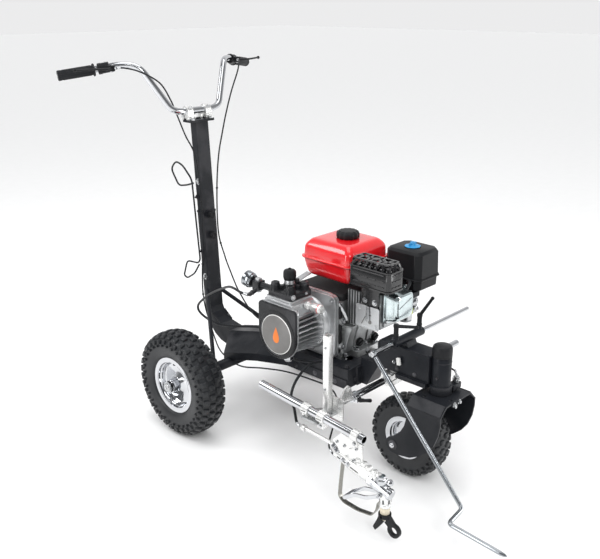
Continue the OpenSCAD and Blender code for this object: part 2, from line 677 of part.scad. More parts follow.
eye_x0 = pointer_x0 - 11;
pointer_knee = [-158, -957, 80];
pointer_crank = [-223, -959, 70];
module pointer_rod() place() color([0.8, 0.81, 0.83])
    difference() {
        union() {
            disc_x(eye_x0, eye_x0 + 12, 9.5, pointer_y, pointer_bar_z);
            bent_bar([[eye_x0 + 6, pointer_y - 6, pointer_bar_z - 8], pointer_knee, pointer_crank,
                [pointer_crank.x, pointer_tip_y + 22, 60]], 6);
            translate([pointer_crank.x, pointer_tip_y + 22, 60]) {
                sphere(6 * ball, $fn = medium);
                rotate([90, 0, 0]) cylinder(r1 = 5.6, r2 = 1.2, h = 22, $fn = medium);
            }
        }
        disc_x(eye_x0 - 1, eye_x0 + 13, pointer_r + gap, pointer_y, pointer_bar_z);
    }

// ---------- gun bar and gun ----------
inner_r = 8;
collar_x = -186;
module gun_bar_bracket() place() color([0.72, 0.72, 0.74])
    difference() {
        block([-28, gun_bar_y - 20, gun_bar_z - 18], [28, gun_bar_y + 18, arm_bottom]);
        disc_x(-29, 29, gun_bar_r, gun_bar_y, gun_bar_z);
        block([-29, gun_bar_y - 21, gun_bar_z - 1], [29, gun_bar_y, gun_bar_z + 1]);
    }

module gun_bar() place() color([0.8, 0.81, 0.83])
    difference() {
        union() {
            disc_x(collar_x + 26, 344, gun_bar_r, gun_bar_y, gun_bar_z);
            disc_x(collar_x, collar_x + 27, gun_bar_r + 4, gun_bar_y, gun_bar_z);
            block([collar_x + 4, gun_bar_y - 22, gun_bar_z - 9], [collar_x + 22, gun_bar_y - 8, gun_bar_z + 9]);
        }
        disc_x(collar_x - 1, 345, inner_r + gap, gun_bar_y, gun_bar_z);
    }

// T-handles that tighten the collar and the bracket
module gun_bar_handles() place() color([0.07, 0.07, 0.07]) {
    x = collar_x + 13;
    rod([x, gun_bar_y - 23.2, gun_bar_z], [x, gun_bar_y - 44, gun_bar_z + 4], 5, coarse);
    rod([x - 24, gun_bar_y - 44, gun_bar_z + 12], [x + 24, gun_bar_y - 46, gun_bar_z - 6], 6, coarse);
    rod([40, gun_bar_y - 16, gun_bar_z + 26], [28, gun_bar_y - 16, gun_bar_z + 26], 5, coarse);
    rod([44, gun_bar_y - 30, gun_bar_z + 14], [44, gun_bar_y - 2, gun_bar_z + 38], 5, coarse);
}

// A slanted cylinder on the carrier's line, from fraction a to b of its length
function carrier_point(t) = carrier_back + t * (carrier_front - carrier_back);
module gun_post() place() color([0.82, 0.82, 0.84]) {
    difference() {
        union() {
            disc_x(post_at.x + 14, collar_x + 150, inner_r, gun_bar_y, gun_bar_z);
            // end plate of the sliding bar, shelf under the post and carrier clamp
            side_plate(post_at.x + 10, post_at.x + 15) round_rect([-622, 240], [-552, 306], 5);
            block([gun_x - 17, -604, 258], [post_at.x + 11, -546, 264]);
            block([gun_x - 17, -590, 263], [gun_x + 17, -546, 299]);
            block([post_at.x - 10, post_at.y - 10, 263], [post_at.x + 10, post_at.y + 10, 486]);
        }
        block([post_at.x - 8, post_at.y - 8, 310], [post_at.x + 8, post_at.y + 8, 487]);
        rod(carrier_point(0.3), carrier_point(0.85), carrier_r);
    }
}

module gun_carrier() place() color([0.8, 0.81, 0.83]) {
    difference() {
        rod(carrier_back, carrier_front, carrier_r);
        rod(carrier_point(-0.02), carrier_point(1.02), carrier_r - 2);
    }
    // hanger plate that holds the gun under the tube
    side_plate(gun_x - 3, gun_x + 3) polygon([
        [-606, 268], [-748, 256], [-752, 216], [-722, 196], [-690, 200], [-664, 222], [-620, 244], [-606, 250]]);
}

module gun_body() place() color([0.78, 0.78, 0.79]) {
    difference() {
        union() {
            // handle, valve housing and nozzle head
            rod([gun_x, -654, 192], [gun_x, -800, 156], 11);
            rod([gun_x, -700, 178], [gun_x, -742, 168], 14);
            rod([gun_x, -770, 163], [gun_x, -846, 144], 16);
            disc_z(104, 158, 15, gun_x, tip_at.y);
            // inlet fitting beside the handle
            disc_y(-548, -534, 9, gun_x, 219, medium);
            rod([gun_x, -547, 219], [gun_x, -650, 212], 4.5, coarse);
            rod([gun_x, -646, 213], [gun_x, -672, 194], 8, coarse);
            // fluid filter standing on the head
            disc_z(150, 196, 12, gun_x, -812);
            translate([gun_x, -812, 168]) cylinder(r = 16, h = 12, $fn = 6);
        }
        disc_x(gun_x - 30, gun_x + 30, 3 + gap, trigger_pivot.y, trigger_pivot.z, coarse);
    }
    // lugs that clamp the hanger plate
    for (side = [-1, 1]) block([gun_x + side * 6.2 - 3, -744, 174], [gun_x + side * 6.2 + 3, -700, 216]);
    // guard strap round the trigger
    for (k = [0 : len(guard_path) - 2]) side_strip(guard_path[k], guard_path[k + 1]);
}
guard_path = [[-684, 176], [-677, 110], [-674, 68], [-690, 55], [-738, 52], [-788, 60], [-802, 84], [-805, 106],
    [-814, 114]];
module side_strip(a, b) {
    d = (b - a) / norm(b - a);
    n = [-d.y, d.x] * 2;
    side_plate(gun_x - 7, gun_x + 7) polygon([a - n - d, a + n - d, b + n + d, b - n + d]);
}
trigger_pivot = [gun_x, -818, 140];
cheek = 20.5;

// Trigger: two flat cheeks on a cross pin, and a finger bar below the handle
module gun_trigger() place() color([0.82, 0.83, 0.85]) {
    for (side = [-1, 1]) {
        x = gun_x + side * cheek;
        side_plate(x - 2.5, x + 2.5) polygon([[-815, 147], [-826, 140], [-816, 122], [-806, 112],
            [-780, 114], [-744, 106], [-709, 80], [-703, 88], [-740, 115], [-780, 122], [-800, 121]]);
        disc_x(x - 2.5, x + 2.5, 7, trigger_pivot.y, trigger_pivot.z, coarse);
    }
    disc_x(gun_x - cheek, gun_x + cheek, 5.5, -706, 84, coarse);
    disc_x(gun_x - cheek - 3, gun_x + cheek + 3, 3, trigger_pivot.y, trigger_pivot.z, coarse);
}

module tip_guard() place() color([0.07, 0.07, 0.07]) {
    difference() {
        union() {
            disc_z(74, 84, 17, gun_x, tip_at.y);
            // rear wing and front wing, the front one with a finger hole
            side_plate(gun_x - 5, gun_x + 5) polygon([[-812, 82], [-806, 60], [-792, 30], [-800, 22], [-816, 44], [-826, 60], [-826, 82]]);
            disc_x(gun_x - 5, gun_x + 5, 19, -858, 46, medium);
            side_plate(gun_x - 5, gun_x + 5) polygon([[-826, 82], [-826, 62], [-842, 50], [-862, 62], [-842, 82]]);
        }
        disc_z(60, 90, 9 + gap, gun_x, tip_at.y);
        disc_x(gun_x - 6, gun_x + 6, 11, -858, 46, medium);
        disc_x(gun_x - 18, gun_x + 18, 4 + gap, tip_at.y, 79, coarse);
    }
}

module spray_tip() place() color([0.85, 0.8, 0.68]) {
    disc_z(84.3, 104, 13, gun_x, tip_at.y);
    disc_z(66, 85, 9, gun_x, tip_at.y);
}

// ---------- wheels ----------
// Half-round tyre section from bead to bead; r runs outwards, a along the axle
function tyre_side(outer, flange, w, t) = [
    flange + 0.42 * (outer - flange) + 0.58 * (outer - flange) * pow(max(cos(t), 0), 0.55),
    w / 2 * sign(t) * pow(abs(sin(t)), 0.8)];
module tyre_ring(outer, flange, bead, w, bead_w) {
    rotate([0, 90, 0]) rotate_extrude($fn = 96) polygon(concat(
        [[bead, -bead_w], [flange, -bead_w]],
        [for (t = [-90 : 15 : 90]) tyre_side(outer, flange, w, t)],
        [[flange, bead_w], [bead, bead_w]]));
}

// Steel rim: a well between two flanges, a dished disc and a hub tube
module rim(flange, bead, half, dish, hub, hub_in, hub_out, bore, side) {
    rotate([0, side * 90, 0]) rotate_extrude($fn = 96) polygon([
        [flange, half], [flange, half - 2], [bead, half - 3], [bead, half - 12], [bead - 9, half - 16],
        [bead - 9, -half + 16], [bead, -half + 12], [bead, -half + 3], [flange, -half + 2], [flange, -half],
        [bead - 3, -half], [bead - 3, -half + 10], [bead - 12, -half + 14], [bead - 12, dish - 4],
        [hub + 14, dish + 6], [hub, dish + 6], [hub, -hub_in], [bore, -hub_in], [bore, hub_out],
        [hub, hub_out], [hub, dish + 10], [hub + 16, dish + 10], [bead - 12, dish],
        [bead - 12, half - 14], [bead - 3, half - 10], [bead - 3, half]]);
}

rear_flange = 92;
rear_bead = 77;
rear_rim_half = 37.5;
module rear_tyre(side) { translate([side * track / 2, 0, rear_r])
    tyre_ring(rear_r, rear_flange, rear_bead, rear_w, rear_rim_half - 3); }
module rear_rim(side) { translate([side * track / 2, 0, rear_r])
    rim(rear_flange, rear_bead, rear_rim_half, 6, 21, 42, 49, axle_r + gap, side); }
module rear_tyre_right() place() color([0.05, 0.05, 0.05]) rear_tyre(-1);
module rear_tyre_left() place() color([0.05, 0.05, 0.05]) rear_tyre(1);
module rear_rim_right() place() color([0.8, 0.82, 0.84]) rear_rim(-1);
module rear_rim_left() place() color([0.8, 0.82, 0.84]) rear_rim(1);

front_flange = 66;
front_bead = 52;
front_rim_half = 36;
module front_tyre() place() color([0.05, 0.05, 0.05]) translate([0, -wheelbase, front_r])
    tyre_ring(front_r, front_flange, front_bead, front_w, front_rim_half - 3);
module front_rim() place() color([0.8, 0.82, 0.84]) translate([0, -wheelbase, front_r])
    rim(front_flange, front_bead, front_rim_half, 4, 15, 41, 41, 6 + gap, -1);

fork_top = 289;
fork_front = stem_y - 62;
fork_back = stem_y + 50;
plate_low = 262;
module fork_plate(x0, x1) {
    a = -wheelbase;
    side_plate(x0, x1) difference() {
        union() {
            polygon([
                [fork_front, plate_low + 2], [fork_front, 238], [stem_y - 57, 205], [stem_y - 44, 171],
                [stem_y - 26, 146], [stem_y + 2, 122], [stem_y + 32, 105], [a - 22, 98.5], [a, 98.6],
                [a + 12, 104], [a + 14, 140], [a - 6, 158], [a - 24, 176], [a - 36, 198], [a - 42, 224],
                [fork_back, plate_low + 2]]);
            translate([a, front_r]) circle(25, $fn = medium);
        }
        translate([a, front_r]) circle(6, $fn = medium);
    }
}
module caster_fork() place() color([0.1, 0.1, 0.11]) {
    difference() {
        union() {
            front_plate(fork_front, fork_back) polygon([
                [-fork_half, plate_low], [-fork_half + 27, fork_top], [fork_half - 27, fork_top],
                [fork_half, plate_low], [fork_half - 5, plate_low], [fork_half - 29, fork_top - 5],
                [-fork_half + 29, fork_top - 5], [-fork_half + 5, plate_low]]);
            fork_plate(-fork_half, -fork_half + 5);
            fork_plate(fork_half - 5, fork_half);
            disc_z(fork_top - 4, stem_top - 12, pin_r, 0, stem_y);
            disc_z(fork_top - 1, stem_bottom - 0.3, 30, 0, stem_y);
        }
        // lock holes: straight ahead, turned to the side and turned back
        for (turn = [0, -90, 180]) translate([0, stem_y, 0]) rotate([0, 0, turn])
            disc_z(fork_top - 8, fork_top + 1, 6, lock_at.x, lock_at.y - stem_y, coarse);
    }
}

module front_axle() place() color([0.8, 0.8, 0.82]) {
    translate([0, -wheelbase, front_r]) rotate([0, 90, 0]) rotate_extrude($fn = medium) {
        axle_half();
        mirror([0, 1]) axle_half();
    }
    for (side = [-1, 1]) translate([side > 0 ? fork_half : -fork_half - 5, -wheelbase, front_r])
        rotate([0, 90, 0]) cylinder(r = 11, h = 5, $fn = 6);
}
// Half the axle's outline: shank, spacer sleeve and the domed end of its nut
module axle_half() {
    polygon(concat([[0, 0], [6, 0], [6, 42], [10, 42], [10, fork_half - 5], [6, fork_half - 5],
        [6, fork_half + 4]], [for (t = [0 : 15 : 90]) [9 * cos(t), fork_half + 4 + 7 * sin(t)]]));
}

lock_at = [48, stem_y - 19];
module lock_pin() place() color([0.8, 0.8, 0.82]) {
    disc_z(fork_top + 0.6, 330, 5, lock_at.x, lock_at.y, coarse);
    disc_z(326, 330, 8, lock_at.x, lock_at.y, coarse);
}

main_frame();
caster_arm();
stem_cap();
rear_axle();
column_lower();
column_upper();
column_bolts();
handlebar_clamp();
handlebar();
grips();
lever_brackets();
hose_hanger();
engine_block();
cylinder_head();
rocker_cover();
fuel_tank();
muffler();
air_cleaner();
carburettor();
recoil_cover();
pump_body();
pump_face_plate();
pump_head();
pump_head_caps();
pressure_gauge();
suction_fitting();
paint_hose();
gun_cable();
lock_cable();
pointer_bracket();
gun_bar_bracket();
gun_bar_handles();
gun_bar();
gun_post();
gun_carrier();
gun_body();
rear_tyre_right();
rear_rim_right();
rear_tyre_left();
rear_rim_left();
caster_fork();
front_axle();
front_tyre();
front_rim();
lock_pin();
lock_lever();
gun_lever();
gun_trigger();
pointer_bar();
pointer_rod();
clamp_lever_near();
clamp_lever_far();
pressure_knob();
prime_valve();
fuel_cap();
air_cleaner_knob();
throttle_lever();
spray_tip();
tip_guard();
crankshaft();
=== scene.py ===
import json
from math import copysign, cos, dist, pi, radians, sin, tan

import bmesh
import bpy
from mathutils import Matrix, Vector


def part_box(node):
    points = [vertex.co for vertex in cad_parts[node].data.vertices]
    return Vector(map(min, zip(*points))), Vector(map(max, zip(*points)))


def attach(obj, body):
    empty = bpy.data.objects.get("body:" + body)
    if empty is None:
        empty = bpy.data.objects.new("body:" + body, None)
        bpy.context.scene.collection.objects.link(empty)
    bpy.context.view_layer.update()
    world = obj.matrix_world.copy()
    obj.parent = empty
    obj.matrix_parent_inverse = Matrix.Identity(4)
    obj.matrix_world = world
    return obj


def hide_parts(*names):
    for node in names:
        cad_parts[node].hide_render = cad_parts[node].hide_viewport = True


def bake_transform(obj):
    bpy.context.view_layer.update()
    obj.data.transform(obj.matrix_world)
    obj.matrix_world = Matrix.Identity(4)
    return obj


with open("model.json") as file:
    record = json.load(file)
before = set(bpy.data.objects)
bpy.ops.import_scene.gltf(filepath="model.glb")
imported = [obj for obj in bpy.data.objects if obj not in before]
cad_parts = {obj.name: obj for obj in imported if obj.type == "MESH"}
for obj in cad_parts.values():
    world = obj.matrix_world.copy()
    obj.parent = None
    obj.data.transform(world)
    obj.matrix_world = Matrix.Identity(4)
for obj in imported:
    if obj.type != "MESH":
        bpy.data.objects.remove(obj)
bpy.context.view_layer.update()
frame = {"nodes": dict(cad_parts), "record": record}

# Places are in millimetres, measured from the floor under the middle of the rear axle,
# as in the part's source: X across the machine, -Y forward, Z up.
MM = 0.001
AXLE_Y = sum(corner.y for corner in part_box("rear_axle")) / 2
UP, DOWN, FRONT, REAR, RIGHT, LEFT = (0, 0, 1), (0, 0, -1), (0, -1, 0), (0, 1, 0), (-1, 0, 0), (1, 0, 0)


def at(x, y, z):
    """A place in the row frame, in metres."""
    return Vector((x * MM, y * MM + AXLE_Y, z * MM))


def mm_box(node):
    """A CAD node's lowest and highest corners, in millimetres."""
    lo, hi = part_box(node)
    back = Vector((0, AXLE_Y, 0))
    return (lo - back) / MM, (hi - back) / MM


# ---------- materials ----------
class Nodes:
    """Builds one material's node network in a few calls."""

    def __init__(self, name):
        self.material = bpy.data.materials.new(name)
        self.material.use_nodes = True
        self.tree = self.material.node_tree
        self.shader = self.tree.nodes["Principled BSDF"]

    def add(self, kind, links=(), **inputs):
        node = self.tree.nodes.new(kind)
        for key, value in inputs.items():
            if hasattr(node, key):
                setattr(node, key, value)
            else:
                node.inputs[key.replace("_", " ")].default_value = value
        for source, socket in links:
            self.link(source, node.inputs[socket])
        return node

    def link(self, source, target):
        output = source.outputs[0] if hasattr(source, "outputs") else source
        self.tree.links.new(output, target)

    def span(self, source, low, high, lowest=0.0, highest=1.0):
        """Maps a value from low..high on to lowest..highest."""
        node = self.add("ShaderNodeMapRange", [(source, "Value")])
        for socket, value in zip(("From Min", "From Max", "To Min", "To Max"), (low, high, lowest, highest)):
            node.inputs[socket].default_value = value
        return node

    def blend(self, share, first, second):
        """Mixes two colours or colour sources."""
        node = self.add("ShaderNodeMix", data_type="RGBA")
        self.link(share, node.inputs[0])
        for socket, value in ((node.inputs[6], first), (node.inputs[7], second)):
            if isinstance(value, tuple):
                socket.default_value = (*value, 1)
            else:
                self.link(value, socket)
        return node.outputs[2]

    def product(self, first, second):
        return self.add("ShaderNodeMath", [(first, 0), (second, 1)], operation="MULTIPLY")


def surface(name, colour, metallic=0.0, rough=0.5, spread=0.15, patch=14.0, grain=900.0, bump=0.15,
        rough_spread=0.08, stretch=(1, 1, 1), coat=0.0, dust=0.0, wear=None, relief=0.0004, shine=0.5):
    """A finish with patchy colour, fine grain, uneven gloss and, if asked, dust and worn edges."""
    n = Nodes(name)
    place = n.add("ShaderNodeTexCoord").outputs["Object"]
    laid = n.add("ShaderNodeMapping", [(place, "Vector")])
    laid.inputs["Scale"].default_value = stretch
    broad = n.add("ShaderNodeTexNoise", [(place, "Vector")], Scale=patch, Detail=4.0)
    fine = n.add("ShaderNodeTexNoise", [(laid, "Vector")], Scale=grain, Detail=3.0)
    dark = tuple(c * (1 - spread) for c in colour)
    light = tuple(min(1.0, c * (1 + spread)) for c in colour)
    tone = n.blend(n.span(broad, 0.3, 0.7), dark, light)
    if wear:
        edge = n.span(n.add("ShaderNodeNewGeometry").outputs["Pointiness"], 0.53, 0.62)
        tone = n.blend(n.product(edge, n.span(broad, 0.42, 0.6)), tone, wear)
    if dust:
        height = n.add("ShaderNodeSeparateXYZ", [(place, 0)]).outputs["Z"]
        tone = n.blend(n.product(n.span(height, 0.0, 0.4, dust, 0.0), n.span(broad, 0.35, 0.65)), tone,
            (0.36, 0.33, 0.29))
    n.link(tone, n.shader.inputs["Base Color"])
    n.link(n.span(fine, 0.3, 0.7, max(0.02, rough - rough_spread), rough + rough_spread),
        n.shader.inputs["Roughness"])
    relief_node = n.add("ShaderNodeBump", [(fine, "Height")], Strength=bump, Distance=relief)
    n.link(relief_node, n.shader.inputs["Normal"])
    n.shader.inputs["Metallic"].default_value = metallic
    n.shader.inputs["Specular IOR Level"].default_value = shine
    n.shader.inputs["Coat Weight"].default_value = coat
    n.shader.inputs["Coat Roughness"].default_value = 0.06
    return n.material


LOOKS = {"frame_black": dict(colour=(0.011, 0.0125, 0.016), rough=0.34, grain=700, bump=0.10, coat=0.03,
    dust=0.03, wear=(0.05, 0.05, 0.055), shine=0.18), "clamp_grey": dict(colour=(0.55, 0.56, 0.57),
    metallic=0.9, rough=0.28, grain=500, bump=0.08), "chrome": dict(colour=(0.60, 0.61, 0.63), metallic=1.0,
    rough=0.06, spread=0.06, grain=260, bump=0.015, rough_spread=0.03), "bright_steel": dict(colour=(0.52,
    0.53, 0.54), metallic=1.0, rough=0.22, spread=0.1, grain=420, bump=0.06, stretch=(1, 1, 0.12)),
    "cast_aluminium": dict(colour=(0.35, 0.36, 0.365), metallic=0.85, rough=0.38, spread=0.22, grain=1100,
    bump=0.35, patch=22, wear=(0.72, 0.73, 0.73)), "machined_aluminium": dict(colour=(0.60, 0.61, 0.62),
    metallic=0.85, rough=0.33, spread=0.08, grain=1500, bump=0.08, patch=16),
    "rocker_silver": dict(colour=(0.60, 0.68, 0.69), metallic=1.0, rough=0.17, spread=0.18, patch=26,
    grain=300, bump=0.05), "tank_red": dict(colour=(0.74, 0.010, 0.016), rough=0.24, spread=0.06, grain=420,
    bump=0.02, coat=0.9, rough_spread=0.03), "black_plastic": dict(colour=(0.012, 0.0125, 0.014), rough=0.42,
    grain=1600, bump=0.22, shine=0.2), "muffler_black": dict(colour=(0.006, 0.006, 0.007), rough=0.2,
    grain=800, bump=0.1, coat=0.35), "grip_rubber": dict(colour=(0.014, 0.015, 0.017), rough=0.45, grain=1500,
    bump=0.3, shine=0.2), "hose_black": dict(colour=(0.012, 0.013, 0.015), rough=0.38, grain=1200, bump=0.12,
    shine=0.2), "tyre": dict(colour=(0.010, 0.0115, 0.014), rough=0.42, spread=0.3, bump=0.2, dust=0.03,
    shine=0.45), "head_black": dict(colour=(0.010, 0.0105, 0.012), rough=0.3, bump=0.15, coat=0.12,
    wear=(0.10, 0.10, 0.11), shine=0.28), "knob_blue": dict(colour=(0.02, 0.26, 0.55), rough=0.3, bump=0.08),
    "tip_beige": dict(colour=(0.78, 0.70, 0.54), rough=0.4, bump=0.1), "recoil_red": dict(colour=(0.60, 0.012,
    0.016), rough=0.26, grain=420, bump=0.03, coat=0.8), "gun_silver": dict(colour=(0.80, 0.80, 0.79),
    metallic=0.7, rough=0.24, spread=0.06, grain=700, bump=0.05), "strap_steel": dict(colour=(0.30, 0.295,
    0.27), metallic=0.95, rough=0.25, spread=0.12, grain=500, bump=0.05), "rod_steel": dict(colour=(0.34,
    0.36, 0.38), metallic=1.0, rough=0.14, spread=0.1, grain=500, bump=0.03),
    "core_metal": dict(colour=(0.10, 0.10, 0.105), metallic=0.7, rough=0.5, spread=0.2, bump=0.2),
    "white_paint": dict(colour=(0.82, 0.82, 0.80), rough=0.35, bump=0.05), "badge_grey": dict(colour=(0.20,
    0.195, 0.19), metallic=0.4, rough=0.4, spread=0.2, grain=240, bump=0.05, stretch=(1, 0.1, 1)),
    "orange_paint": dict(colour=(0.80, 0.20, 0.03), rough=0.4, bump=0.05), "red_paint": dict(colour=(0.70,
    0.02, 0.03), rough=0.35, bump=0.05), "tag_yellow": dict(colour=(0.52, 0.60, 0.10), rough=0.45, bump=0.05),
    # Near-black finish used only as painted shade: dark plates and bands set into gaps, grooves, slots and
    # hollows.
    "painted_shade_black": dict(colour=(0.012, 0.012, 0.013), metallic=0.3, rough=0.6, bump=0.2),}
FINISHES = {name: surface(name, **look) for name, look in LOOKS.items()}


def glass_finish():
    """Clear cover of the pressure gauge."""
    n = Nodes("gauge_glass")
    n.shader.inputs["Transmission Weight"].default_value = 1.0
    n.shader.inputs["Roughness"].default_value = 0.02
    n.shader.inputs["IOR"].default_value = 1.45
    place = n.add("ShaderNodeTexCoord").outputs["Object"]
    smudge = n.add("ShaderNodeTexNoise", [(place, "Vector")], Scale=60.0, Detail=3.0)
    n.link(n.blend(smudge, (0.92, 0.94, 0.94), (1.0, 1.0, 1.0)), n.shader.inputs["Base Color"])
    return n.material


FINISHES["gauge_glass"] = glass_finish()


# ---------- mesh helpers ----------
def turned_to(axis):
    """Rotation that takes +Z to the axis."""
    return Vector(UP).rotation_difference(Vector(axis)).to_matrix()


def curved(points, steps):
    """A smooth curve through the points."""
    p = [Vector(q) for q in points]
    path = []
    for i in range(len(p) - 1):
        a, b, c, d = p[max(i - 1, 0)], p[i], p[i + 1], p[min(i + 2, len(p) - 1)]
        for k in range(steps):
            t = k / steps
            path.append(0.5 * (2 * b + (c - a) * t + (2 * a - 5 * b + 4 * c - d) * t ** 2
                + (3 * b - a - 3 * c + d) * t ** 3))
    return path + [p[-1]]


def rounded(points, radius, steps=6):
    """Straight stretches whose corners are rounded off from radius away."""
    p = [Vector(q) for q in points]
    path = [p[0]]
    for before, corner, after in zip(p, p[1:], p[2:]):
        reach = min(radius, (corner - before).length * 0.48, (after - corner).length * 0.48)
        start = corner + (before - corner).normalized() * reach
        end = corner + (after - corner).normalized() * reach
        for k in range(steps + 1):
            t = k / steps
            path.append(start * (1 - t) ** 2 + corner * 2 * t * (1 - t) + end * t ** 2)
    return path + [p[-1]]


def rectangle(x0, y0, x1, y1, r, steps=5):
    """Outline of a rectangle with rounded corners; steps of 1 cuts them straight."""
    outline = []
    for cx, cy, start in ((x1 - r, y1 - r, 0), (x0 + r, y1 - r, 90), (x0 + r, y0 + r, 180),
            (x1 - r, y0 + r, 270)):
        for k in range(steps + 1):
            t = radians(start + 90 * k / steps)
            outline.append((cx + r * cos(t), cy + r * sin(t)))
    return outline


class Shape:
    """Collects closed solids, given in millimetres, into one mesh piece."""

    def __init__(self):
        self.bm = bmesh.new()

    def rings(self, rows, caps=True, closed=False):
        """Faces between successive rings of points; closed joins the last ring to the first."""
        made = [[self.bm.verts.new(at(*p)) for p in row] for row in rows]
        for a, b in zip(made, made[1:] + (made[:1] if closed else [])):
            for k in range(len(a)):
                j = (k + 1) % len(a)
                self.bm.faces.new((a[k], a[j], b[j], b[k]))
        if caps and not closed:
            self.bm.faces.new(made[0][::-1])
            self.bm.faces.new(made[-1])
        return self

    def lathe(self, centre, axis, profile, steps=48, flutes=0, depth=0.0, closed=None):
        """Turns a profile of (radius, height) about an axis; flutes cut shallow grooves along it.

        A profile with a radius at both ends is closed into a ring, unless closed says otherwise.
        """
        turn, origin = turned_to(axis), Vector(centre)
        if closed is None:
            closed = profile[0][0] > 0 and profile[-1][0] > 0
        rows = []
        for r, h in profile:
            row = []
            for k in range(steps):
                t = 2 * pi * k / steps
                reach = max(r, 0.004) - (depth * (0.5 - 0.5 * cos(flutes * t)) if r > 3 * depth else 0)
                row.append(origin + turn @ Vector((reach * cos(t), reach * sin(t), h)))
            rows.append(row)
        return self.rings(rows, closed=closed)

    def disc(self, centre, axis, r, h, steps=24):
        return self.lathe(centre, axis, [(0, 0), (r, 0), (r, h), (0, h)], steps)

    def ring(self, centre, axis, bore, r, h, cut, rise, steps):
        """A disc, or a ring around a bore, with both edges cut by cut across and rise along."""
        return self.lathe(centre, axis, [(bore, 0), (r - cut, 0), (r, rise), (r, h - rise), (r - cut, h),
            (bore, h)], steps)

    def tube(self, path, radius, sides=16, flat=1.0):
        """A tube along a path; radius is one number or a function of the fraction of its length."""
        path = [Vector(p) for p in path]
        side = Vector((0.31, 0.87, 0.38))
        rows = []
        for i, p in enumerate(path):
            heading = (path[min(i + 1, len(path) - 1)] - path[max(i - 1, 0)]).normalized()
            side = (side - heading * side.dot(heading)).normalized()
            other = heading.cross(side)
            r = radius(i / (len(path) - 1)) if callable(radius) else radius
            rows.append([p + side * r * cos(2 * pi * k / sides) + other * r * flat * sin(2 * pi * k / sides)
                for k in range(sides)])
        return self.rings(rows)

    def strap(self, path, wide, thick, over=None, closed=False, across=None):
        """A flat bar along a path; over points out of its broad face, or across lies along its width."""
        path = [Vector(p) for p in path]
        last = len(path) - 1
        rows = []
        for i, p in enumerate(path):
            before = path[i - 1] if closed or i else path[0]
            after = path[(i + 1) % len(path)] if closed or i < last else path[last]
            heading = (after - before).normalized()
            side = (Vector(across) if across else heading.cross(Vector(over))).normalized()
            out = side.cross(heading)
            rows.append([p + side * wide / 2 * a + out * thick / 2 * b for a,
                b in ((-1, -1), (1, -1), (1, 1), (-1, 1))])
        return self.rings(rows, closed=closed)

    def prism(self, outline, axis, low, high):
        """An outline carried along an axis from low to high."""
        place = {"x": lambda u, v, w: (w, u, v), "y": lambda u, v, w: (u, w, v), "z": lambda u, v,
            w: (u, v, w)}
        return self.rings([[place[axis](u, v, w) for u, v in outline] for w in (low, high)])

    def block(self, a, b):
        return self.prism([(a[0], a[1]), (b[0], a[1]), (b[0], b[1]), (a[0], b[1])], "z", a[2], b[2])

    def loft(self, sections, steps=6):
        """Rounded rectangles (x0, y0, x1, y1, corner, z) skinned from the bottom up."""
        return self.rings([[(x, y, z) for x, y in rectangle(x0, y0, x1, y1, r, steps)] for x0, y0, x1, y1, r,
            z in sections])

    def rod(self, a, b, r, chamfer=1.0, steps=24):
        length = (Vector(b) - Vector(a)).length
        return self.lathe(a, Vector(b) - Vector(a), [(0, 0), (r - chamfer, 0), (r, chamfer),
            (r, length - chamfer), (r - chamfer, length), (0, length)], steps)

    def bolt(self, centre, axis, r, h, washer=1.35):
        """A hexagon head with a washer under it, standing on centre."""
        self.lathe(centre, axis, [(0, 0), (r * washer, 0), (r * washer, 1.2), (0, 1.2)], 24)
        return self.lathe(centre, axis, [(0, 1), (r, 1), (r, h - 0.14 * r), (0.86 * r, h), (0, h)], 6)

    def cap_screw(self, centre, axis, r, h):
        """A socket-head screw with a hexagon hollow."""
        return self.lathe(centre, axis, [(0, 0), (r, 0), (r, h - 0.8), (r - 0.8, h), (0.55 * r, h),
            (0.5 * r, h - 0.5 * r), (0, h - 0.5 * r)], 24)

    def ball(self, centre, r, steps=20):
        arc = [pi * k / 10 for k in range(11)]
        return self.lathe(centre, UP, [(r * sin(t), -r * cos(t)) for t in arc], steps)

    def piece(self, name, finish, stands_for=(), body="root", bevel=0.0, sharp=38.0):
        """Turns what was collected into a piece that rides on a body, or on none."""
        bmesh.ops.remove_doubles(self.bm, verts=self.bm.verts, dist=2e-5)
        bmesh.ops.recalc_face_normals(self.bm, faces=self.bm.faces)
        mesh = bpy.data.meshes.new(name)
        self.bm.to_mesh(mesh)
        self.bm.free()
        obj = bpy.data.objects.new(name, mesh)
        bpy.context.scene.collection.objects.link(obj)
        shade(mesh, sharp)
        mesh.materials.append(FINISHES[finish])
        if bevel:
            soften(obj, bevel)
        if body:
            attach(obj, body)
        if stands_for:
            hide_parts(*stands_for)
        return obj


def shade(mesh, sharp):
    mesh.polygons.foreach_set("use_smooth", [True] * len(mesh.polygons))
    mesh.set_sharp_from_angle(angle=radians(sharp))


def soften(obj, width):
    """Rounds an object's sharp edges by a small width in millimetres."""
    edges = obj.modifiers.new("edges", "BEVEL")
    edges.width = width * MM
    edges.segments = 2
    edges.limit_method = "ANGLE"
    edges.angle_limit = radians(40)
    edges.harden_normals = True
    edges.use_clamp_overlap = True


# ---------- camera, floor and light ----------
CAMERA_PLACE = (-1727.8, -1875.3, 1326.2)
CAMERA_TURN, CAMERA_TILT, CAMERA_ROLL = -46.377, 19.229, -0.110
SENSOR_WIDTH, LENS = 36.0, 48.31
FLOOR_HALF = 30.0


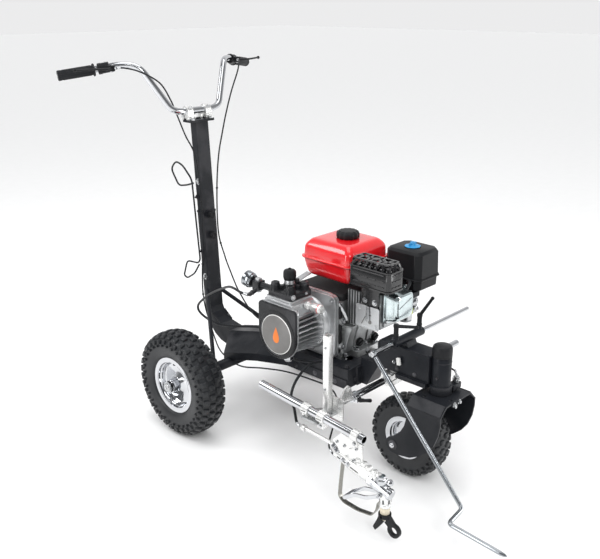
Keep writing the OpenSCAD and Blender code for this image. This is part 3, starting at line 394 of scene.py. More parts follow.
def make_camera():
    """Camera at the photograph's viewpoint."""
    turn, tilt, roll = (radians(t) for t in (CAMERA_TURN, CAMERA_TILT, CAMERA_ROLL))
    data = bpy.data.cameras.new("view")
    data.sensor_width, data.lens = SENSOR_WIDTH, LENS
    data.clip_start, data.clip_end = 0.05, 60.0
    camera = bpy.data.objects.new("view", data)
    back = Vector((sin(turn) * cos(tilt), -cos(turn) * cos(tilt), sin(tilt)))
    right = Vector((cos(turn), sin(turn), 0))
    up = back.cross(right)
    across = right * cos(roll) + up * sin(roll)
    upright = up * cos(roll) - right * sin(roll)
    matrix = camera.matrix_world.to_3x3()
    matrix.col[0], matrix.col[1], matrix.col[2] = across, upright, back
    camera.matrix_world = matrix.to_4x4()
    camera.location = at(*CAMERA_PLACE)
    bpy.context.scene.collection.objects.link(camera)
    bpy.context.scene.camera = camera


def make_floor():
    mesh = bpy.data.meshes.new("floor")
    half = FLOOR_HALF
    mesh.from_pydata([(-half, -half, 0), (half, -half, 0), (half, half, 0), (-half, half, 0)], [],
        [(0, 1, 2, 3)])
    floor = bpy.data.objects.new("floor", mesh)
    bpy.context.scene.collection.objects.link(floor)
    mesh.materials.append(surface("floor_pale", (0.90, 0.90, 0.90), rough=0.55, spread=0.01, grain=60,
        bump=0.02))


def area_light(name, place, size, power, target=(0, 0, 0.45)):
    data = bpy.data.lights.new(name, "AREA")
    data.shape = "RECTANGLE"
    data.size, data.size_y = size
    data.energy = power
    light = bpy.data.objects.new(name, data)
    light.location = place
    light.rotation_euler = (Vector(target) - Vector(place)).to_track_quat("-Z", "Y").to_euler()
    bpy.context.scene.collection.objects.link(light)


def make_light():
    area_light("key", (-1.6, -3.0, 2.7), (0.9, 1.2), 24)
    area_light("left_strip", (-3.2, 0.6, 1.5), (0.5, 2.4), 28)
    area_light("right_strip", (2.2, -3.0, 1.3), (0.5, 2.4), 26)
    area_light("top", (0.2, 0.2, 3.4), (1.6, 2.4), 24)
    area_light("rear_left", (-1.9, 2.0, 2.6), (1.3, 1.3), 34, (-0.1, -0.2, 0.35))
    data = bpy.data.lights.new("even", "SUN")
    data.energy = 2.0
    data.angle = radians(70)
    even = bpy.data.objects.new("even", data)
    even.visible_glossy = False
    even.rotation_euler = (radians(18), radians(-14), 0)
    bpy.context.scene.collection.objects.link(even)
    world = bpy.data.worlds.new("studio")
    world.use_nodes = True
    tree = world.node_tree
    place = tree.nodes.new("ShaderNodeTexCoord")
    facing = tree.nodes.new("ShaderNodeVectorMath")
    facing.operation = "DOT_PRODUCT"
    facing.inputs[1].default_value = (0.5, 0.47, -0.3)
    lifted = tree.nodes.new("ShaderNodeMath")
    lifted.inputs[1].default_value = 0.5
    ramp = tree.nodes.new("ShaderNodeValToRGB")
    tree.links.new(place.outputs["Generated"], facing.inputs[0])
    tree.links.new(facing.outputs["Value"], lifted.inputs[0])
    tree.links.new(lifted.outputs[0], ramp.inputs[0])
    tree.links.new(ramp.outputs[0], tree.nodes["Background"].inputs[0])
    first, last = ramp.color_ramp.elements
    first.position, first.color = 0.34, (0.24, 0.245, 0.25, 1)
    last.position, last.color = 0.80, (0.84, 0.84, 0.845, 1)
    bpy.context.scene.world = world
    bpy.context.scene.view_settings.view_transform = "Standard"


# ---------- CAD nodes that stay ----------
def dress_cad_nodes():
    """Gives every CAD node its finish and slightly rounded edges."""
    slots = {row["node"]: row["material_slot"] for row in frame["record"]["subparts"]}
    for node, obj in frame["nodes"].items():
        obj.data.materials.clear()
        obj.data.materials.append(FINISHES[slots[node]])
        weld = obj.modifiers.new("weld", "WELD")
        weld.merge_threshold = 1e-5
        soften(obj, CAD_EDGES.get(node, 0.6))


CAD_EDGES = {"main_frame": 2.0, "caster_arm": 2.0, "column_lower": 2.0, "column_upper": 1.6,
    "engine_block": 1.2}


# ---------- wheels ----------
def tyre_section(outer, flange, half, turn):
    """Radius and offset along the axle at one angle of the half-round section."""
    rise = 0.42 + 0.58 * max(cos(turn), 0.0) ** 0.55
    return flange + (outer - flange) * rise, copysign(half * abs(sin(turn)) ** 0.8, turn)


def tyre(node, body, flange, bead, bead_half, lug, rows, count):
    """Casing with rows of raised lugs; a row is (distance from the crown, width, length, stagger)."""
    lo, hi = mm_box(node)
    middle = (lo + hi) / 2
    outer, half = (hi.z - lo.z) / 2 - lug, (hi.x - lo.x) / 2 - 2
    skin = [tyre_section(outer, flange, half, radians(t)) for t in range(-88, 89, 4)]
    reach = [0.0]
    for a, b in zip(skin, skin[1:]):
        reach.append(reach[-1] + dist(a, b))
    crown = reach[-1] / 2

    def on_skin(along, height):
        """Radius and offset at a distance from the crown, lifted off the casing."""
        s = along + crown
        i = max((k for k in range(len(reach) - 1) if reach[k] <= s), default=0)
        (r0, a0), (r1, a1) = skin[i], skin[i + 1]
        t = (s - reach[i]) / (reach[i + 1] - reach[i])
        length = dist((r0, a0), (r1, a1))
        return (r0 + (r1 - r0) * t + height * (a1 - a0) / length, a0 + (a1 - a0) * t
            - height * (r1 - r0) / length)

    shape = Shape()
    step = 4.0
    sidewall = [(bead, bead_half), (flange, bead_half), (flange + 2, bead_half + 3.5),
        (flange + step, bead_half + 3.5), (flange + 2 * step, half - 4), (skin[0][0] - 2 * step, half - 1)]
    profile = [(r, -a) for r, a in sidewall] + skin + [(r, a) for r, a in reversed(sidewall)]
    shape.lathe(middle, LEFT, profile, 120)
    outline = rectangle(-0.5, -0.5, 0.5, 0.5, 0.16, 2)
    for along, wide, long, stagger in rows:
        for k in range(count):
            for side in (-1, 1):
                turn = 2 * pi * (k + stagger + 0.25 * side) / count
                made = []
                for share, height in ((1.04, -1.0), (0.92, 0.75 * lug), (0.72, lug - 0.2)):
                    row = []
                    for u, v in outline:
                        r, a = on_skin(side * along + v * wide * share, height)
                        angle = turn + u * long * share / outer
                        row.append((middle.x + a, middle.y + r * cos(angle), middle.z + r * sin(angle)))
                    made.append(row)
                shape.rings(made)
    shape.piece(node + "_treaded", "tyre", [node], body=body, sharp=50)


def rim(node, body, side, flange, bead, half, dish, hub, hub_in, hub_out, bore):
    """Pressed steel rim: rolled lips, stepped bowl, coned disc and hub tube."""
    tyre_node = node.replace("rim", "tyre")
    lo, hi = mm_box(tyre_node)
    face = [(flange, half - 1), (flange - 0.6, half), (flange - 4, half), (flange - 6.5, half - 1.3),
        (bead + 4, half - 1.4), (bead + 1.5, half - 0.8), (bead - 0.8, half - 1.5), (bead - 2, half - 5),
        (bead - 2.8, half - 8), (bead - 5, half - 9.2), (bead - 6.3, half - 11), (bead - 7, half - 15.5),
        (bead - 8, dish + 8), (bead - 11, dish + 4.6), (bead - 17, dish + 3.3),
        (0.4 * hub + 0.6 * (bead - 17), dish + 3.3), (hub + 11, dish + 6.5), (hub + 6, dish + 11),
        (hub + 2, dish + 13), (hub, dish + 15)]
    tube = [(hub, hub_out - 0.8), (hub - 0.8, hub_out), (bore + 0.8, hub_out), (bore, hub_out - 0.8),
        (bore, 0.8 - hub_in), (bore + 0.8, -hub_in), (hub - 0.8, -hub_in), (hub, 0.8 - hub_in)]
    back = [(hub, dish - 6), (hub + 4, dish - 2), (bead - 18, dish - 0.5), (bead - 12, dish),
        (bead - 10.5, dish - 3), (bead - 10.5, 16 - half), (bead - 5, 11 - half), (bead - 3.2, 8 - half),
        (bead - 3, 2.5 - half), (flange - 3, -half), (flange, 0.8 - half), (flange, 2 - half),
        (bead + 1, 3.2 - half), (bead - 0.2, 4 - half), (bead - 0.2, 11 - half), (bead - 7, 15 - half),
        (bead - 8.5, 18 - half), (bead - 5, dish + 8), (bead - 4.5, half - 14), (bead - 3, half - 10),
        (bead - 0.4, half - 6), (bead - 0.2, half - 4), (bead + 1, half - 3.2), (flange, half - 2.2)]
    middle = (lo + hi) / 2
    Shape().lathe(middle, (side, 0, 0), face + tube + back, 96).piece(node + "_pressed", "chrome", [node],
        body=body, sharp=30)
    Shape().lathe(middle + Vector((side * (dish + 3), 0, bead - 15)), (side, 0, 0.35),
        [(0, 0), (5, 0), (4.4, 3), (3.2, 5), (3, 15), (3.8, 15.5), (3.8, 20), (2.8, 22), (0, 22)],
        20).piece(node + "_valve", "black_plastic", body=body)


def wheels():
    rear_rows = [(12.5, 20, 17, 0.0), (34, 19, 18, 0.5), (53, 14, 13, 0.0), (65, 8, 9, 0.5)]
    for word, side in (("right", -1), ("left", 1)):
        tyre("rear_tyre_" + word, "rear_wheel_" + word, 92, 77, 34.5, 6.5, rear_rows, 34)
        rim("rear_rim_" + word, "rear_wheel_" + word, side, 92, 77, 37.5, 6, 21, 42, 49, 12.55)
        lo, hi = mm_box("rear_rim_" + word)
        middle = (lo + hi) / 2
        end = hi.x if side > 0 else lo.x
        axle = Vector((end, middle.y, (mm_box("rear_axle")[0].z + mm_box("rear_axle")[1].z) / 2))
        # Dark ring at the hub end: painted shade in the gap between the axle nut and the hub tube.
        Shape().lathe(axle - Vector((side * 6, 0, 0)), (side, 0, 0), [(13.5, 0), (18.6, 0), (18.6, 6.3),
            (17.6, 6.8), (14.5, 6.8), (13.5, 6)], 40).piece("hub_gap_shade_" + word, "black_plastic",
            body="rear_wheel_" + word)
    front_rows = [(11, 18, 15, 0.0), (30, 17, 15, 0.5), (46, 10, 11, 0.0)]
    tyre("front_tyre", "front_wheel", 66, 52, 33, 5.5, front_rows, 27)
    rim("front_rim", "front_wheel", -1, 66, 52, 36, 4, 15, 41, 41, 6.05)


# ---------- tank, muffler and air cleaner ----------
def fuel_tank():
    lo, hi = mm_box("fuel_tank")
    x0, y0, x1, y1 = lo.x + 5, lo.y + 5, hi.x - 5, hi.y - 5
    foot, seam, top = lo.z, 580.0, hi.z

    def level(inset, z, rear=0.0):
        return (x0 + inset, y0 + inset, x1 - inset, y1 - inset - rear, max(22 - 0.3 * inset, 11), z)

    shell = Shape()
    shell.loft([level(24, foot, 10), level(17, foot + 1.5, 9), level(11, foot + 5, 8), level(7, foot + 12, 6),
        level(4, foot + 28, 3), level(1.5, foot + 50), level(1, seam + 1), level(1.5, seam + 12),
        level(2.6, top - 27), level(4.6, top - 21), level(8.4, top - 14.5), level(16, top - 6.6),
        level(20, top - 3.2), level(25, top - 1.1), level(31, top - 0.3), level(44, top)], 8)
    shell.loft([level(0.5, seam - 3.4), level(-4.2, seam - 2.6), level(-4.8, seam - 1.6),
        level(-4.8, seam + 1.6), level(-4.2, seam + 2.5), level(0.8, seam + 3.4)], 8)
    shell.piece("fuel_tank_shell", "tank_red", ["fuel_tank"], sharp=34)
    # Dark band tucked under the seam lip: painted shade under the lip.
    Shape().loft([level(-2.2, seam - 4.3), level(-2.2, seam - 3.0)], 8).piece("tank_seam_lip_shade", "painted_shade_black")
    lo, hi = mm_box("fuel_cap")
    middle = (lo + hi) / 2
    neck = Vector((middle.x, middle.y, top - 1.5))
    Shape().lathe(neck, UP, [(20, 0), (35.5, 0), (33, 1.4), (30, 2.2), (27, 2.6), (20, 2.6)], 60,
        closed=False).piece("fuel_tank_neck", "tank_red")
    cap = Shape()
    rise = hi.z - top
    cap.lathe((middle.x, middle.y, top), UP, [(0, 1.2), (31, 1.2), (34.6, 1.8), (35.9, 3.6), (36, rise - 9),
        (35, rise - 6), (32.5, rise - 3.4), (30.6, rise - 2.4), (29.6, rise - 2.2), (28.4, rise - 0.6),
        (26.5, rise - 0.2), (10, rise - 0.1), (0, rise - 0.1)], 144, flutes=12, depth=2.2)
    cap.rod((middle.x, middle.y, lo.z + 0.5), (middle.x, middle.y, top + 2), 23)
    cap.piece("fuel_cap_fluted", "black_plastic", ["fuel_cap"], body="tank_cap")


def spaced(outline, count, offset=0.0):
    """Points equally spaced along a closed outline."""
    lengths = [dist(a, b) for a, b in zip(outline, outline[1:] + outline[:1])]
    total = sum(lengths)
    found = []
    for k in range(count):
        left = total * ((k + offset) % count) / count
        for i, length in enumerate(lengths):
            if left <= length:
                a, b = outline[i], outline[(i + 1) % len(outline)]
                found.append((a[0] + (b[0] - a[0]) * left / length, a[1] + (b[1] - a[1]) * left / length))
                break
            left -= length
    return found


def muffler():
    """Ribbed heat guard with an open lattice on top, the canister inside and its bracket."""
    lo, hi = mm_box("muffler")
    x0, y0, x1, y1, foot, top = -30.0, lo.y, hi.x, hi.y, 541.0, hi.z
    shoulder = foot + 60

    def level(inset, z):
        return (x0 + inset, y0 + inset, x1 - inset, y1 - inset, max(13 - 0.3 * inset, 5), z)

    def ring(shape, inset, z, wide, thick):
        edge = rectangle(x0 + inset, y0 + inset, x1 - inset, y1 - inset, max(13 - 0.3 * inset, 5), 5)
        shape.strap([(x, y, z) for x, y in edge], wide, thick, UP, closed=True)

    guard = Shape()
    guard.loft([level(7, foot), level(4, foot + 1), level(2.6, foot + 5), level(2, foot + 14),
        level(2, shoulder - 2), level(3.4, shoulder)], 6)
    ring(guard, 2.6, shoulder + 1, 4.5, 4)
    ring(guard, 2.2, foot + 4, 4, 5)
    ring(guard, 12.5, top - 3.4, 6, 4.6)
    lower = spaced(rectangle(x0 + 3.4, y0 + 3.4, x1 - 3.4, y1 - 3.4, 12, 5), 18, 0.5)
    upper = spaced(rectangle(x0 + 12, y0 + 12, x1 - 12, y1 - 12, 9, 5), 18, 0.5)
    for a, b in zip(lower, upper):
        knee = (a[0] + 0.22 * (b[0] - a[0]), a[1] + 0.22 * (b[1] - a[1]), shoulder + 12)
        guard.strap([(a[0], a[1], shoulder - 1), knee, (b[0], b[1], top - 3.2)], 6.4, 4.6,
            ((a[0] - b[0]), (a[1] - b[1]), 3))
    middle = ((x0 + x1) / 2, (y0 + y1) / 2)
    guard.strap([(middle[0], y0 + 13, top - 3.4), (middle[0], y1 - 13, top - 3.4)], 8, 4.4, UP)
    for k in range(5):
        y = y0 + 34 + k * (y1 - y0 - 68) / 4
        lean = 5 if k % 2 else -5
        guard.strap([(x0 + 13, y - lean, top - 3.4), (x1 - 13, y + lean, top - 3.4)], 7, 4.4, UP)
    guard.rod((middle[0], middle[1], top - 6), (middle[0], middle[1], top - 0.2), 11, 1.2, 32)
    for z in (shoulder - 7, shoulder - 25, shoulder - 43):
        stretches = 1 if z > shoulder - 10 else 4
        span = (y1 - y0 - 34) / stretches
        for k in range(stretches):
            a = y0 + 17 + k * span
            guard.strap([(x0 + 1.4, a + 3, z), (x0 + 1.4, a + span - 3, z)], 3.4, 2.6, LEFT)
        for k in range(3):
            a = x0 + 16 + k * 15
            guard.strap([(a, y0 + 1.4, z), (a + 11, y0 + 1.4, z)], 3.4, 2.6, REAR)
    guard.piece("muffler_guard", "muffler_black", ["muffler"], bevel=0.5)
    can = Shape()
    can.loft([level(9, shoulder - 4), level(9, shoulder + 4), level(12, shoulder + 9),
        level(18, shoulder + 12)], 6)
    can.lathe((middle[0], middle[1] + 30, shoulder + 10), UP, [(0, 0), (9, 0), (9, 6), (7, 8), (0, 8)], 24)
    can.piece("muffler_canister", "muffler_black", bevel=0.6)
    stay = Shape()
    stay.prism(rectangle(-560, 492, -496, foot + 8, 9), "x", -24, -19.5)
    stay.prism(rectangle(-552, 500, -504, foot + 8, 6), "x", -20, -16.3)
    stay.lathe((20, -544, 526.4), UP, [(0, 0), (21, 0), (21, 4), (14, 6), (14, foot - 525), (0, foot - 525)],
        32)
    stay.piece("muffler_stay", "muffler_black", bevel=0.8)
    nuts = Shape()
    for y in (-546, -510):
        nuts.bolt((-24, y, 504), RIGHT, 6.5, 6)
    nuts.piece("muffler_nuts", "bright_steel")


def air_cleaner():
    lo, hi = mm_box("air_cleaner")
    x0, y0, x1, y1 = lo.x - 3, lo.y - 2, hi.x + 4, hi.y + 4
    rim_z, top = 536.0, hi.z

    def level(inset, z, corner=17):
        return (x0 + inset, y0 + inset, x1 - inset, y1 - inset, corner, z)

    box = Shape()
    box.loft([level(7, lo.z, 14), level(4, lo.z + 3, 16), level(3, rim_z - 4, 17)], 1)
    box.loft([level(0, rim_z - 4), level(-2.6, rim_z - 3), level(-2.6, rim_z + 2), level(0, rim_z + 3)], 1)
    box.loft([level(0.5, rim_z + 2), level(2.6, top - 9), level(9.5, top - 1.2, 15),
        level(11, top - 0.4, 14)], 1)
    box.piece("air_cleaner_box", "black_plastic", ["air_cleaner"], bevel=2.2)
    lo, hi = mm_box("air_cleaner_knob")
    x, y = (lo.x + hi.x) / 2, (lo.y + hi.y) / 2
    Shape().lathe((x, y, top - 1), UP, [(0, 0), (28, 0), (26.5, 1.0), (25.4, 1.0), (25, 0.6), (18, 0.6),
        (17, 1.2), (0, 1.2)], 48).piece("air_cleaner_seat", "black_plastic")
    nut = Shape()
    nut.lathe((x, y, top + 0.2), UP, [(0, 0), (24, 0), (25, 1.2), (24.6, 2.6), (21, 3.4), (14, 4.4),
        (10.5, 7), (9, 9), (8.6, 13.6), (7.4, 15), (0, 15)], 96, flutes=8, depth=1.2)
    for side in (-1, 1):
        nut.strap([(x + side * 4, y, top + 6), (x + side * 12, y, top + 8.5), (x + side * 17, y, top + 9)], 4,
            7, UP)
    nut.rod((x, y, lo.z + 0.5), (x, y, top + 1), 3.8)
    nut.piece("air_cleaner_nut", "knob_blue", ["air_cleaner_knob"], body="cleaner_nut", bevel=0.6)


# ---------- pump ----------
CRANK_Z = 397.0
PUMP_Y = -323.0
FIN_COUNT, FIN_WALL = 30, 3.0


def polar(radius, degrees, x):
    """A place around the pump's axis; 0 degrees points to the rear and 90 up."""
    t = radians(degrees)
    return (x, PUMP_Y + radius * cos(t), CRANK_Z + radius * sin(t))


def pump_body():
    lo, hi = mm_box("pump_body")
    body = Shape()

    def shrunk(inset):
        return rectangle(lo.y + inset, lo.z + inset, hi.y - inset, hi.z - inset, 20 - inset * 0.4, 6)

    body.prism(shrunk(0), "x", -51.5, hi.x)
    body.prism(shrunk(5), "x", -54.5, -50)
    body.prism(shrunk(0.8), "x", -61.5, -54)
    body.lathe((-61, PUMP_Y, CRANK_Z + 3), RIGHT, [(0, 0), (86, 0), (84, 7), (80, 13), (77, 15), (77, 19),
        (74, 21), (66, 27), (60, 29), (0, 29)], 72)
    Shape().lathe((-83, PUMP_Y, CRANK_Z), RIGHT, [(0, 0), (55, 0), (50, 20), (50, 80), (55, 103.4),
        (0, 103.4)], 64).piece("pump_core", "core_metal")
    fin = [(x, r, FIN_WALL * (1.15 - r / 160)) for x, r in ((-84, 48), (-84, 79), (-92, 77.5), (-130, 72),
        (-176, 71), (-187, 74), (-187, 48))]
    for k in range(FIN_COUNT):
        turn = k * 360.0 / FIN_COUNT
        if 52 < turn < 128:
            continue
        rear, up = cos(radians(turn)), sin(radians(turn))
        body.rings([[(x, PUMP_Y + r * rear - side * wall * up, CRANK_Z + r * up + side * wall * rear) for x,
            r, wall in fin] for side in (-1, 1)])
    body.strap([polar(76.6, k * 5 - 42, -102) for k in range(17)], 3, 5, (0, 0.7, 0.7))
    deck = [(-178, -368, -84, -248, 8, 440), (-178, -368, -82, -246, 8, 478), (-176, -366, -82, -248, 8, 487),
        (-173, -356, -80, -254, 6, 489), (-173, -356, -80, -254, 6, 496.8)]
    body.loft(deck, 4)
    body.prism(plate_outline(0.6), "x", -191.4, -186.5)
    body.piece("pump_casting", "machined_aluminium", ["pump_body"], bevel=0.8)
    bolts = Shape()
    for y in (lo.y + 14, hi.y - 14):
        for z in (lo.z + 14, hi.z - 14):
            bolts.bolt((-61.5, y, z), RIGHT, 6, 6.5)
    for turn in (-60, -110, -150, 190, 330):
        bolts.bolt(polar(80, turn, -68), RIGHT, 4.2, 5)
    bolts.bolt((-159, -368, 467), FRONT, 4.4, 4.5)
    bolts.piece("pump_bolts", "bright_steel")
    # Dark band at the bottom of the flange groove: painted shade in the recess.
    Shape().prism(shrunk(2.6), "x", -55.2, -53.4).piece("pump_groove_shade", "painted_shade_black")


def plate_outline(grow=0.0):
    """Face plate: square at the top with rounded corners, round at the bottom."""
    r = 78 + grow
    top = 485 + grow
    outline = [(PUMP_Y + r * cos(radians(t)), CRANK_Z + r * sin(radians(t))) for t in range(-180, 1, 5)]
    for cy, start in ((PUMP_Y + r - 13, 0), (PUMP_Y - r + 13, 90)):
        for k in range(7):
            t = radians(start + 15 * k)
            outline.append((cy + 13 * cos(t), top - 13 + 13 * sin(t)))
    return outline


def pump_face():
    back = mm_box("pump_face_plate")[1].x
    plate = Shape()
    plate.prism(plate_outline(), "x", back - 5.5, back - 0.2)
    plate.prism(plate_outline(-2.2), "x", back - 7.6, back - 5.2)
    plate.lathe((back - 7.4, PUMP_Y, CRANK_Z - 1), RIGHT, [(0, 0), (74, 0), (73.2, 1.6), (70, 2.3),
        (65.5, 2.5), (64.6, 1.2), (0, 1.2)], 96)
    plate.piece("pump_cover", "head_black", ["pump_face_plate"], bevel=1.0)
    Shape().lathe((back - 8.4, PUMP_Y, CRANK_Z - 1), RIGHT, [(0, 0), (61, 0), (60.6, 1.4), (59.0, 1.8),
        (0, 1.8)], 96).piece("pump_badge_ring", "white_paint")
    Shape().lathe((back - 8.6, PUMP_Y, CRANK_Z - 1), RIGHT, [(0, 0), (58.6, 0), (58.4, 2.2), (0, 2.25)],
        96).piece("pump_badge", "badge_grey")
    drop = [(PUMP_Y + 17 * sin(t) * sin(t / 2) ** 1.4, CRANK_Z - 2 + 25 * cos(t))
        for t in [2 * pi * k / 40 for k in range(40)]]
    Shape().prism(drop, "x", back - 11.3, back - 10.4).piece("pump_badge_drop", "orange_paint")


def pump_head():
    x, y = -124.0, -305.0
    casting = Shape()
    casting.loft([(x - 45, y - 47, x + 45, y + 47, 6, 497), (x - 46, y - 48, x + 46, y + 48, 7, 499),
        (x - 46, y - 48, x + 46, y + 48, 7, 512), (x - 43, y - 45, x + 43, y + 45, 8, 515),
        (x - 41, y - 43, x + 41, y + 43, 9, 516)], 4)
    corners = [(x + dx, y + dy) for dx in (-29, 29) for dy in (-31, 31)]
    for u, v in corners:
        casting.lathe((u, v, 512), UP, [(0, 0), (18, 0), (16.5, 6), (15, 9), (14.6, 15), (14, 18),
            (12.6, 19.5), (0, 19.5)], 32)
        casting.strap([(x, y, 521), (u, v, 521)], 13, 12, UP)
    casting.lathe((x, y, 512), UP, [(0, 0), (27, 0), (24, 4), (20, 9), (19, 17), (17, 20), (0, 20)], 40)
    casting.lathe((x + 30, y, 512), UP, [(0, 0), (13, 0), (10, 12), (9.5, 19), (0, 20)], 28)
    casting.lathe((-146, -258, 508), REAR, [(0, -4), (14, -4), (14, 4), (11, 6), (10, 8), (10, 52), (0, 52)],
        28)
    casting.loft([(-162, -208, -130, -180, 4, 492), (-162, -208, -130, -180, 4, 518.6),
        (-160.5, -206.5, -131.5, -181.5, 3, 520)], 3)
    casting.tube(rounded([(-152, -203, 503), (-164, -194, 490), (-176, -182, 478)], 6), 6.8, 20)
    casting.disc((-168, -190.5, 486.5), (-8, 8.5, -8.5), 9, 3, 6)
    casting.piece("pump_head_casting", "head_black", ["pump_head"], bevel=1.0)
    caps = Shape()
    for u, v in corners:
        caps.lathe((u, v, 531), UP, [(0, 0), (13, 0), (13.2, 4), (12, 6.6), (8.4, 8), (6, 8), (5.6, 6.6),
            (0, 6.4)], 32, flutes=10, depth=0.8)
    caps.lathe((x + 30, y, 531), UP, [(0, 0), (8, 0), (8, 6), (6.6, 8.6), (0, 9)], 24)
    caps.piece("pump_head_plugs", "head_black", ["pump_head_caps"])
    collar = Shape()
    collar.lathe((x, y, 531), UP, [(6.2, 0), (14.8, 0), (14.8, 4), (13, 5), (13, 8), (15.2, 8.6),
        (15.2, 12.4), (14.4, 13), (6.2, 13)], 40)
    collar.bolt((x - 35, y - 47.6, 507), FRONT, 6.2, 5)
    collar.bolt((x + 20, y - 47.6, 507), FRONT, 3.6, 3.4)
    collar.piece("pump_head_collar", "machined_aluminium")
    lo, hi = mm_box("pressure_knob")
    x, y = (lo.x + hi.x) / 2, (lo.y + hi.y) / 2
    rise = hi.z - 544.3
    knob = Shape()
    knob.lathe((x, y, 544.3), UP, [(0, 0), (17.6, 0), (18.2, 1), (18.2, 5), (19.4, 6.5), (19.6, 9),
        (19.4, 22), (18.2, 26.5), (15, 29.8), (9, 31.6), (5.4, 32), (4.4, 32.6), (4, rise - 0.8), (3.2, rise),
        (0, rise)], 72, flutes=18, depth=0.7)
    knob.rod((x, y, lo.z + 0.5), (x, y, 545), 5.8)
    knob.piece("pressure_knob_domed", "black_plastic", ["pressure_knob"], body="pressure_control")


def prime_valve():
    lo, hi = mm_box("prime_valve")
    x, z = (lo.x + hi.x) / 2, (lo.z + hi.z) / 2
    barrel = Shape()
    barrel.lathe((x, -366.5, z), FRONT, [(0, 0), (9, 0), (9, 3), (12.6, 4), (13.2, 6), (13.2, 14),
        (12.4, 15.5), (9.6, 17), (9.2, 19), (9.2, 24), (10, 26), (12.9, 28), (13.4, 30), (13.4, 58),
        (13, 61.5), (11.4, 64), (8.5, 65.1), (0, 65.2)], 48)
    barrel.rod((x, hi.y - 0.5, z), (x, -366, z), 5.8)
    barrel.piece("prime_valve_barrel", "gun_silver", ["prime_valve"], body="prime_control")
    Shape().lathe((x, -418, z), FRONT, [(13.3, 0), (13.5, 0.2), (13.5, 2.6), (13.3, 2.8)],
        48).piece("prime_valve_mark", "red_paint", body="prime_control")
    Shape().lathe((x, -421.6, z), FRONT, [(13.3, 0), (13.5, 0.2), (13.5, 5.8), (13.3, 6)],
        48).piece("prime_valve_band", "white_paint", body="prime_control")


def pressure_gauge():
    start, end = Vector((-148, -172, 512)), Vector((-152, -144, 520))
    axis = (end - start).normalized()
    drum = Shape()
    drum.lathe(start, axis, [(0, 0), (21, 0), (22, 1.2), (22, 6), (24.6, 7.4), (25, 9), (25, 26.2),
        (24, 28.6), (22.2, 29.2), (21.4, 28.2), (21.2, 25), (0, 25)], 56)
    drum.disc((-146, -180.5, 510), REAR, 8, 15, 6)
    drum.piece("gauge_case", "rod_steel", ["pressure_gauge"])
    Shape().lathe(start - axis * 0.4, axis, [(0, 0), (16, 0), (17, 0.6), (18.6, 0.6), (19, 1.5), (0, 1.5)],
        40).piece("gauge_back", "black_plastic")
    Shape().lathe(start + axis * 24.6, axis, [(0, 0), (20.8, 0), (20.8, 1.2), (20, 1.2), (19.6, 0.8),
        (0, 0.8)], 48).piece("gauge_dial", "white_paint")
    marks = Shape()
    turn = turned_to(axis)
    for k in range(11):
        t = radians(-135 + 27 * k)
        a = turn @ Vector((14.5 * sin(t), 14.5 * cos(t), 0))
        b = turn @ Vector((19 * sin(t), 19 * cos(t), 0))
        marks.strap([start + axis * 25.5 + a, start + axis * 25.5 + b], 1.1, 0.5, axis)
    needle = turn @ Vector((-11, -9, 0))
    marks.strap([start + axis * 26 - needle * 0.3, start + axis * 26 + needle], 1.4, 0.6, axis)
    marks.lathe(start + axis * 25.2, axis, [(0, 0), (2.6, 0), (2.2, 1.4), (0, 1.5)], 20)
    marks.piece("gauge_marks", "black_plastic")
    Shape().lathe(start + axis * 27.2, axis, [(0, 0), (21.4, 0), (21.4, 0.6), (20.6, 0.9), (12, 1.2),
        (0, 1.4)], 48).piece("gauge_window", "gauge_glass")
    cap = Shape()
    cap.loft([(-154, -202, -138, -186, 2, 519.6), (-154, -202, -138, -186, 2, 527),
        (-152.5, -200.5, -139.5, -187.5, 1.5, 528.4)], 3)
    cap.lathe((-146, -194, 492.4), DOWN, [(0, 0), (10.5, 0), (10.5, 7), (9, 8.4), (0, 8.4)], 6)
    cap.piece("outlet_plugs", "machined_aluminium", bevel=0.5)


def suction_fitting():
    lo, hi = mm_box("suction_fitting")
    x, y = -150.0, PUMP_Y
    z = lo.z
    profile = [(9.05, 0), (11.2, 0), (12.9, 3), (11.4, 4.6), (13.2, 5.2), (13.2, 18), (14, 18.5),
        (14, hi.z - z - 0.2), (9.05, hi.z - z - 0.2)]
    Shape().lathe((x, y, z), UP, profile, 40).piece("suction_barb", "bright_steel", ["suction_fitting"])
    Shape().ring((x, y, 302), UP, 13, 18, 12, 1.2, 1.2, 6).piece("suction_nut", "bright_steel")


# ---------- engine ----------
CRANK_Y = -320


